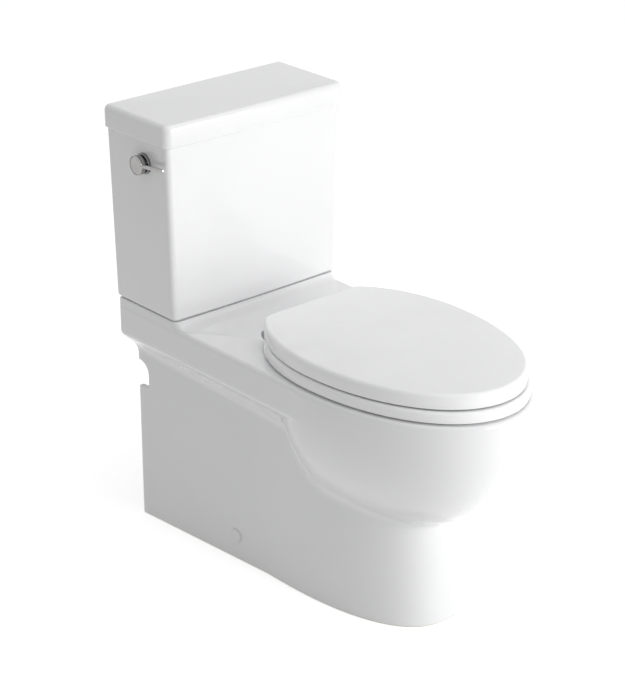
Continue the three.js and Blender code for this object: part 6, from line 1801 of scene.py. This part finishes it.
def photo_camera(settings):
    a, e = settings.azimuth, settings.elevation
    back = Vector((math.sin(a) * math.cos(e), -math.cos(a) * math.cos(e), math.sin(e)))
    right = Vector((math.cos(a), math.sin(a), 0))
    up = back.cross(right)
    middle = Vector((0, DECK_REAR, VIEW_HEIGHT)) * MILLIMETRE
    data = bpy.data.cameras.new("photo_camera")
    data.sensor_width = SENSOR_WIDTH
    data.lens = settings.lens
    camera = bpy.data.objects.new("photo_camera", data)
    camera.rotation_mode = "QUATERNION"
    camera.rotation_quaternion = (-back).to_track_quat("-Z", "Y")
    camera.location = middle + right * settings.across + up * settings.upward + back * settings.distance
    bpy.context.scene.collection.objects.link(camera)
    bpy.context.scene.camera = camera
    return camera


# Operators, one for each piece or group of like pieces

class TOILET_OT_bowl(bpy.types.Operator):
    """Makes the glazed bowl with its deck, skirt, basin and trapway"""

    bl_idname = "toilet.bowl"
    bl_label = "Bowl"

    def execute(self, context):
        china = context.scene.toilet_china
        material = glazed_china("china_bowl", china, footed=True)
        body = bowl_body(china.rim_round / MILLIMETRE)
        dressed(body, "bowl_china", material, "toilet", ["bowl"])
        return {"FINISHED"}


class TOILET_OT_tank(bpy.types.Operator):
    """Makes the glazed tank"""

    bl_idname = "toilet.tank"
    bl_label = "Tank"

    def execute(self, context):
        material = glazed_china("china_tank", context.scene.toilet_china)
        dressed(tank_body(), "tank_china", material, "toilet", ["tank"])
        return {"FINISHED"}


class TOILET_OT_tank_lid(bpy.types.Operator):
    """Makes the tank's glazed lid"""

    bl_idname = "toilet.tank_lid"
    bl_label = "Tank lid"

    def execute(self, context):
        china = context.scene.toilet_china
        material = glazed_china("china_lid", china)
        body = tank_lid_body(china.lid_round / MILLIMETRE)
        dressed(body, "tank_lid_china", material, "tank_lid", ["tank_lid"])
        return {"FINISHED"}


class TOILET_OT_seat_ring(bpy.types.Operator):
    """Makes the seat ring"""

    bl_idname = "toilet.seat_ring"
    bl_label = "Seat ring"

    def execute(self, context):
        seat = context.scene.toilet_seat
        material = moulded_plastic("seat_ring_plastic", seat.colour, seat.roughness, coat=0.25)
        dressed(seat_ring_body(), "seat_ring_moulded", material, "seat_ring", ["seat_ring"])
        return {"FINISHED"}


class TOILET_OT_seat_lid(bpy.types.Operator):
    """Makes the seat's lid"""

    bl_idname = "toilet.seat_lid"
    bl_label = "Seat lid"

    def execute(self, context):
        seat = context.scene.toilet_seat
        material = moulded_plastic("seat_lid_plastic", seat.colour, seat.roughness, coat=0.25)
        body = seat_lid_body(seat.crown / MILLIMETRE)
        dressed(body, "seat_lid_moulded", material, "seat_lid", ["seat_lid"])
        return {"FINISHED"}


class TOILET_OT_bumpers(bpy.types.Operator):
    """Grows the soft bumpers under the seat ring and under the seat's lid"""

    bl_idname = "toilet.bumpers"
    bl_label = "Seat bumpers"

    def execute(self, context):
        material = soft_rubber("bumper_rubber", context.scene.toilet_seat.bumper_colour, 0.6, 0.03)
        tree = bumper_tree()
        foot = RIM_HEIGHT + TOUCH_GAP
        under_ring = ring_base + RING_GROOVE_DEPTH - TOUCH_GAP
        under_lid = cover_boss_base - TOUCH_GAP
        groups = (
            ("ring", "seat_ring", RING_BUMPER_SHARES, foot, under_ring, BUMPER_RADIUS, BUMPER_STEM_RADIUS),
            ("lid", "seat_lid", COVER_BUMPER_SHARES, bumper_rest, under_lid,
             COVER_BUMPER_RADIUS, COVER_BUMPER_STEM_RADIUS),
        )
        for label, body, shares, low, high, radius, stem in groups:
            made = grown(f"{label}_bumpers", tree, [(*ring_middle(share), low) for share in shares], {
                "Radius": radius * MILLIMETRE,
                "Height": (high - low) * MILLIMETRE,
                "Stem Radius": stem * MILLIMETRE,
            }, material)
            nodes = [f"{label}_bumper_{i + 1}" for i in range(len(shares))]
            dressed(made, f"{label}_bumpers", material, body, nodes)
        return {"FINISHED"}


class TOILET_OT_hinges(bpy.types.Operator):
    """Makes the hinge posts and the hinge pins with their grey caps"""

    bl_idname = "toilet.hinges"
    bl_label = "Seat hinges"

    def execute(self, context):
        seat = context.scene.toilet_seat
        plastic = moulded_plastic("hinge_post_plastic", seat.colour, seat.roughness * 1.3)
        grey = moulded_plastic("hinge_pin_plastic", seat.pin_colour, 0.4)
        post = hinge_post_body()
        pin = hinge_pin_body()
        for side, made_post, made_pin in (
            ("left", mirrored(post, "post"), mirrored(pin, "pin")), ("right", post, pin),
        ):
            dressed(
                made_post, f"post_{side}", plastic, "toilet",
                [f"hinge_post_{side}"], SMALL_CRISP_EDGE,
            )
            dressed(
                made_pin, f"pin_{side}", grey, "toilet", [f"hinge_pin_{side}"], SMALL_CRISP_EDGE,
            )
        return {"FINISHED"}


class TOILET_OT_lever(bpy.types.Operator):
    """Makes the trip lever with its knob and the plate behind it"""

    bl_idname = "toilet.lever"
    bl_label = "Trip lever"

    def execute(self, context):
        lever = context.scene.toilet_lever
        # The handle's chrome holds a painted reflection: its colour is darkened and warmed to stand in for
        # the knob face's brownish-grey reflection.
        chrome = plated_metal("lever_chrome_painted_reflection", lever.colour, lever.roughness)
        plate = plated_metal("plate_metal", lever.plate_colour, lever.roughness * 2)
        handle = lever_handle_body(lever.knob_radius / MILLIMETRE)
        dressed(handle, "trip_handle", chrome, "trip_lever", ["lever_handle"])
        dressed(escutcheon_body(), "trip_plate", plate, "toilet", ["lever_escutcheon"])
        return {"FINISHED"}


class TOILET_OT_floor_caps(bpy.types.Operator):
    """Makes the round caps over the skirt's screws"""

    bl_idname = "toilet.floor_caps"
    bl_label = "Floor caps"

    def execute(self, context):
        material = moulded_plastic("floor_cap_plastic", shade(context.scene.toilet_seat.colour, 0.95), 0.3)
        for side, sign in (("left", -1), ("right", 1)):
            dressed(
                floor_cap_body(sign), f"cap_{side}", material, "toilet",
                [f"floor_cap_{side}"],
            )
        return {"FINISHED"}


class TOILET_OT_threads(bpy.types.Operator):
    """Winds the threads on the bolts and on the fill valve's shank"""

    bl_idname = "toilet.threads"
    bl_label = "Threads"

    def execute(self, context):
        tree = thread_tree()
        brass = worn_metal("thread_brass", BRASS_COLOUR, BRASS_DARK, 0.3)
        nylon = moulded_plastic("thread_nylon", NYLON_COLOUR, 0.45)
        grey = moulded_plastic("thread_grey", GREY_COLOUR, 0.45)
        tank_end = deck_underside - TANK_WASHER - TANK_NUT - TOUCH_GAP * 3 - BOLT_END
        seat_head = RIM_HEIGHT + SEAT_BOLT_HEAD_ABOVE_RIM + TOUCH_GAP + SEAT_BOLT_HEAD
        seat_end = seat_head - SEAT_BOLT_LENGTH
        fill_end = tank_base - FILL_SHANK_BELOW_TANK
        rows = (
            ("tank_bolt_threads", brass, "brass", TANK_BOLT_RADIUS, THREAD_PITCH,
             tank_end, BOLT_END - TANK_NUT / 2,
             [(-TANK_BOLT_X, FLUSH_Y), (TANK_BOLT_X, FLUSH_Y)]),
            ("seat_bolt_threads", nylon, "nylon", SEAT_BOLT_RADIUS, THREAD_PITCH, seat_end, BOLT_END,
             [(-hinge_bolt_x, hinge_y), (hinge_bolt_x, hinge_y)]),
            ("fill_shank_threads", grey, "float_plastic", FILL_SHANK_RADIUS, COARSE_THREAD_PITCH,
             fill_end, FILL_SHANK_BELOW_TANK - LAND_RADIUS, [(-FILL_X, FILL_Y)]),
        )
        for name, material, slot_name, radius, pitch, low, length, places in rows:
            made = grown(name, tree, [(x, y, low + pitch / 2) for x, y in places], {
                "Radius": radius * MILLIMETRE,
                "Height": (length - pitch) * MILLIMETRE,
                "Turns": (length - pitch) / pitch,
            }, material)
            made.data.materials.clear()
            made.data.materials.append(material)
            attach(made, "toilet")
        return {"FINISHED"}


class TOILET_OT_fittings(bpy.types.Operator):
    """Paints the valves, bolts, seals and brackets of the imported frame"""

    bl_idname = "toilet.fittings"
    bl_label = "Valves and fixings"

    def execute(self, context):
        finishes = {
            "nylon": moulded_plastic("nylon", NYLON_COLOUR, 0.45),
            "seal_rubber": soft_rubber("seal_rubber", (0.018, 0.018, 0.019), 0.7, 0.02),
            "steel": worn_metal("zinc_steel", (0.5, 0.51, 0.52), (0.33, 0.33, 0.34), 0.3),
            "brass": worn_metal("bolt_brass", BRASS_COLOUR, BRASS_DARK, 0.28),
            "valve_plastic": moulded_plastic("valve_plastic", (0.03, 0.031, 0.034), 0.45),
            "float_plastic": moulded_plastic("float_plastic", GREY_COLOUR, 0.4),
            "flapper_rubber": soft_rubber("flapper_rubber", (0.27, 0.03, 0.022), 0.6),
            "strap_rubber": soft_rubber("strap_rubber", (0.05, 0.052, 0.056), 0.6, 0.03),
            "refill_rubber": soft_rubber("refill_rubber", (0.02, 0.02, 0.021), 0.5, 0.02),
        }
        for slot_name, nodes in FINISH_OF_NODES.items():
            for node in nodes:
                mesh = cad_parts[node].data
                mesh.materials.clear()
                mesh.materials.append(finishes[slot_name])
        return {"FINISHED"}


class TOILET_OT_stage(bpy.types.Operator):
    """Makes the pale floor, the soft lamps, the even sky and the camera"""

    bl_idname = "toilet.stage"
    bl_label = "Stage"

    def execute(self, context):
        settings = context.scene.toilet_stage
        studio_floor(settings)
        lit_world(settings.sky)
        area_lamp("key_lamp", KEY_LAMP_PLACE, KEY_LAMP_SIZE, settings.key_power)
        area_lamp("top_lamp", TOP_LAMP_PLACE, TOP_LAMP_SIZE, settings.top_power)
        photo_camera(settings)
        context.scene.view_settings.view_transform = "Standard"
        return {"FINISHED"}


class TOILET_PT_panel(bpy.types.Panel):
    """Lists the pieces in the sidebar"""

    bl_label = "Toilet"
    bl_idname = "TOILET_PT_panel"
    bl_space_type = "VIEW_3D"
    bl_region_type = "UI"
    bl_category = "Toilet"

    def draw(self, context):
        for operator in PIECES:
            self.layout.operator(operator.bl_idname)
        for settings in (
            context.scene.toilet_china, context.scene.toilet_seat,
            context.scene.toilet_lever, context.scene.toilet_stage,
        ):
            box = self.layout.box()
            for name in settings.bl_rna.properties.keys():
                if name not in ("rna_type", "name"):
                    box.prop(settings, name)


PIECES = (
    TOILET_OT_bowl, TOILET_OT_tank, TOILET_OT_tank_lid, TOILET_OT_seat_ring, TOILET_OT_seat_lid,
    TOILET_OT_bumpers, TOILET_OT_hinges, TOILET_OT_lever, TOILET_OT_floor_caps, TOILET_OT_threads,
    TOILET_OT_fittings, TOILET_OT_stage,
)
SETTINGS = {
    "toilet_china": ToiletChinaSettings,
    "toilet_seat": ToiletSeatSettings,
    "toilet_lever": ToiletLeverSettings,
    "toilet_stage": ToiletStageSettings,
}


def register():
    for settings in SETTINGS.values():
        bpy.utils.register_class(settings)
    for name, settings in SETTINGS.items():
        setattr(bpy.types.Scene, name, bpy.props.PointerProperty(type=settings))
    for operator in PIECES:
        bpy.utils.register_class(operator)
    bpy.utils.register_class(TOILET_PT_panel)


def unregister():
    bpy.utils.unregister_class(TOILET_PT_panel)
    for operator in reversed(PIECES):
        bpy.utils.unregister_class(operator)
    for name, settings in SETTINGS.items():
        delattr(bpy.types.Scene, name)
        bpy.utils.unregister_class(settings)


def main():
    register()
    bpy.ops.toilet.stage()
    bpy.ops.toilet.bowl()
    bpy.ops.toilet.tank()
    bpy.ops.toilet.tank_lid()
    bpy.ops.toilet.seat_ring()
    bpy.ops.toilet.seat_lid()
    bpy.ops.toilet.bumpers()
    bpy.ops.toilet.hinges()
    bpy.ops.toilet.lever()
    bpy.ops.toilet.floor_caps()
    bpy.ops.toilet.threads()
    bpy.ops.toilet.fittings()


if __name__ == "__main__":
    main()
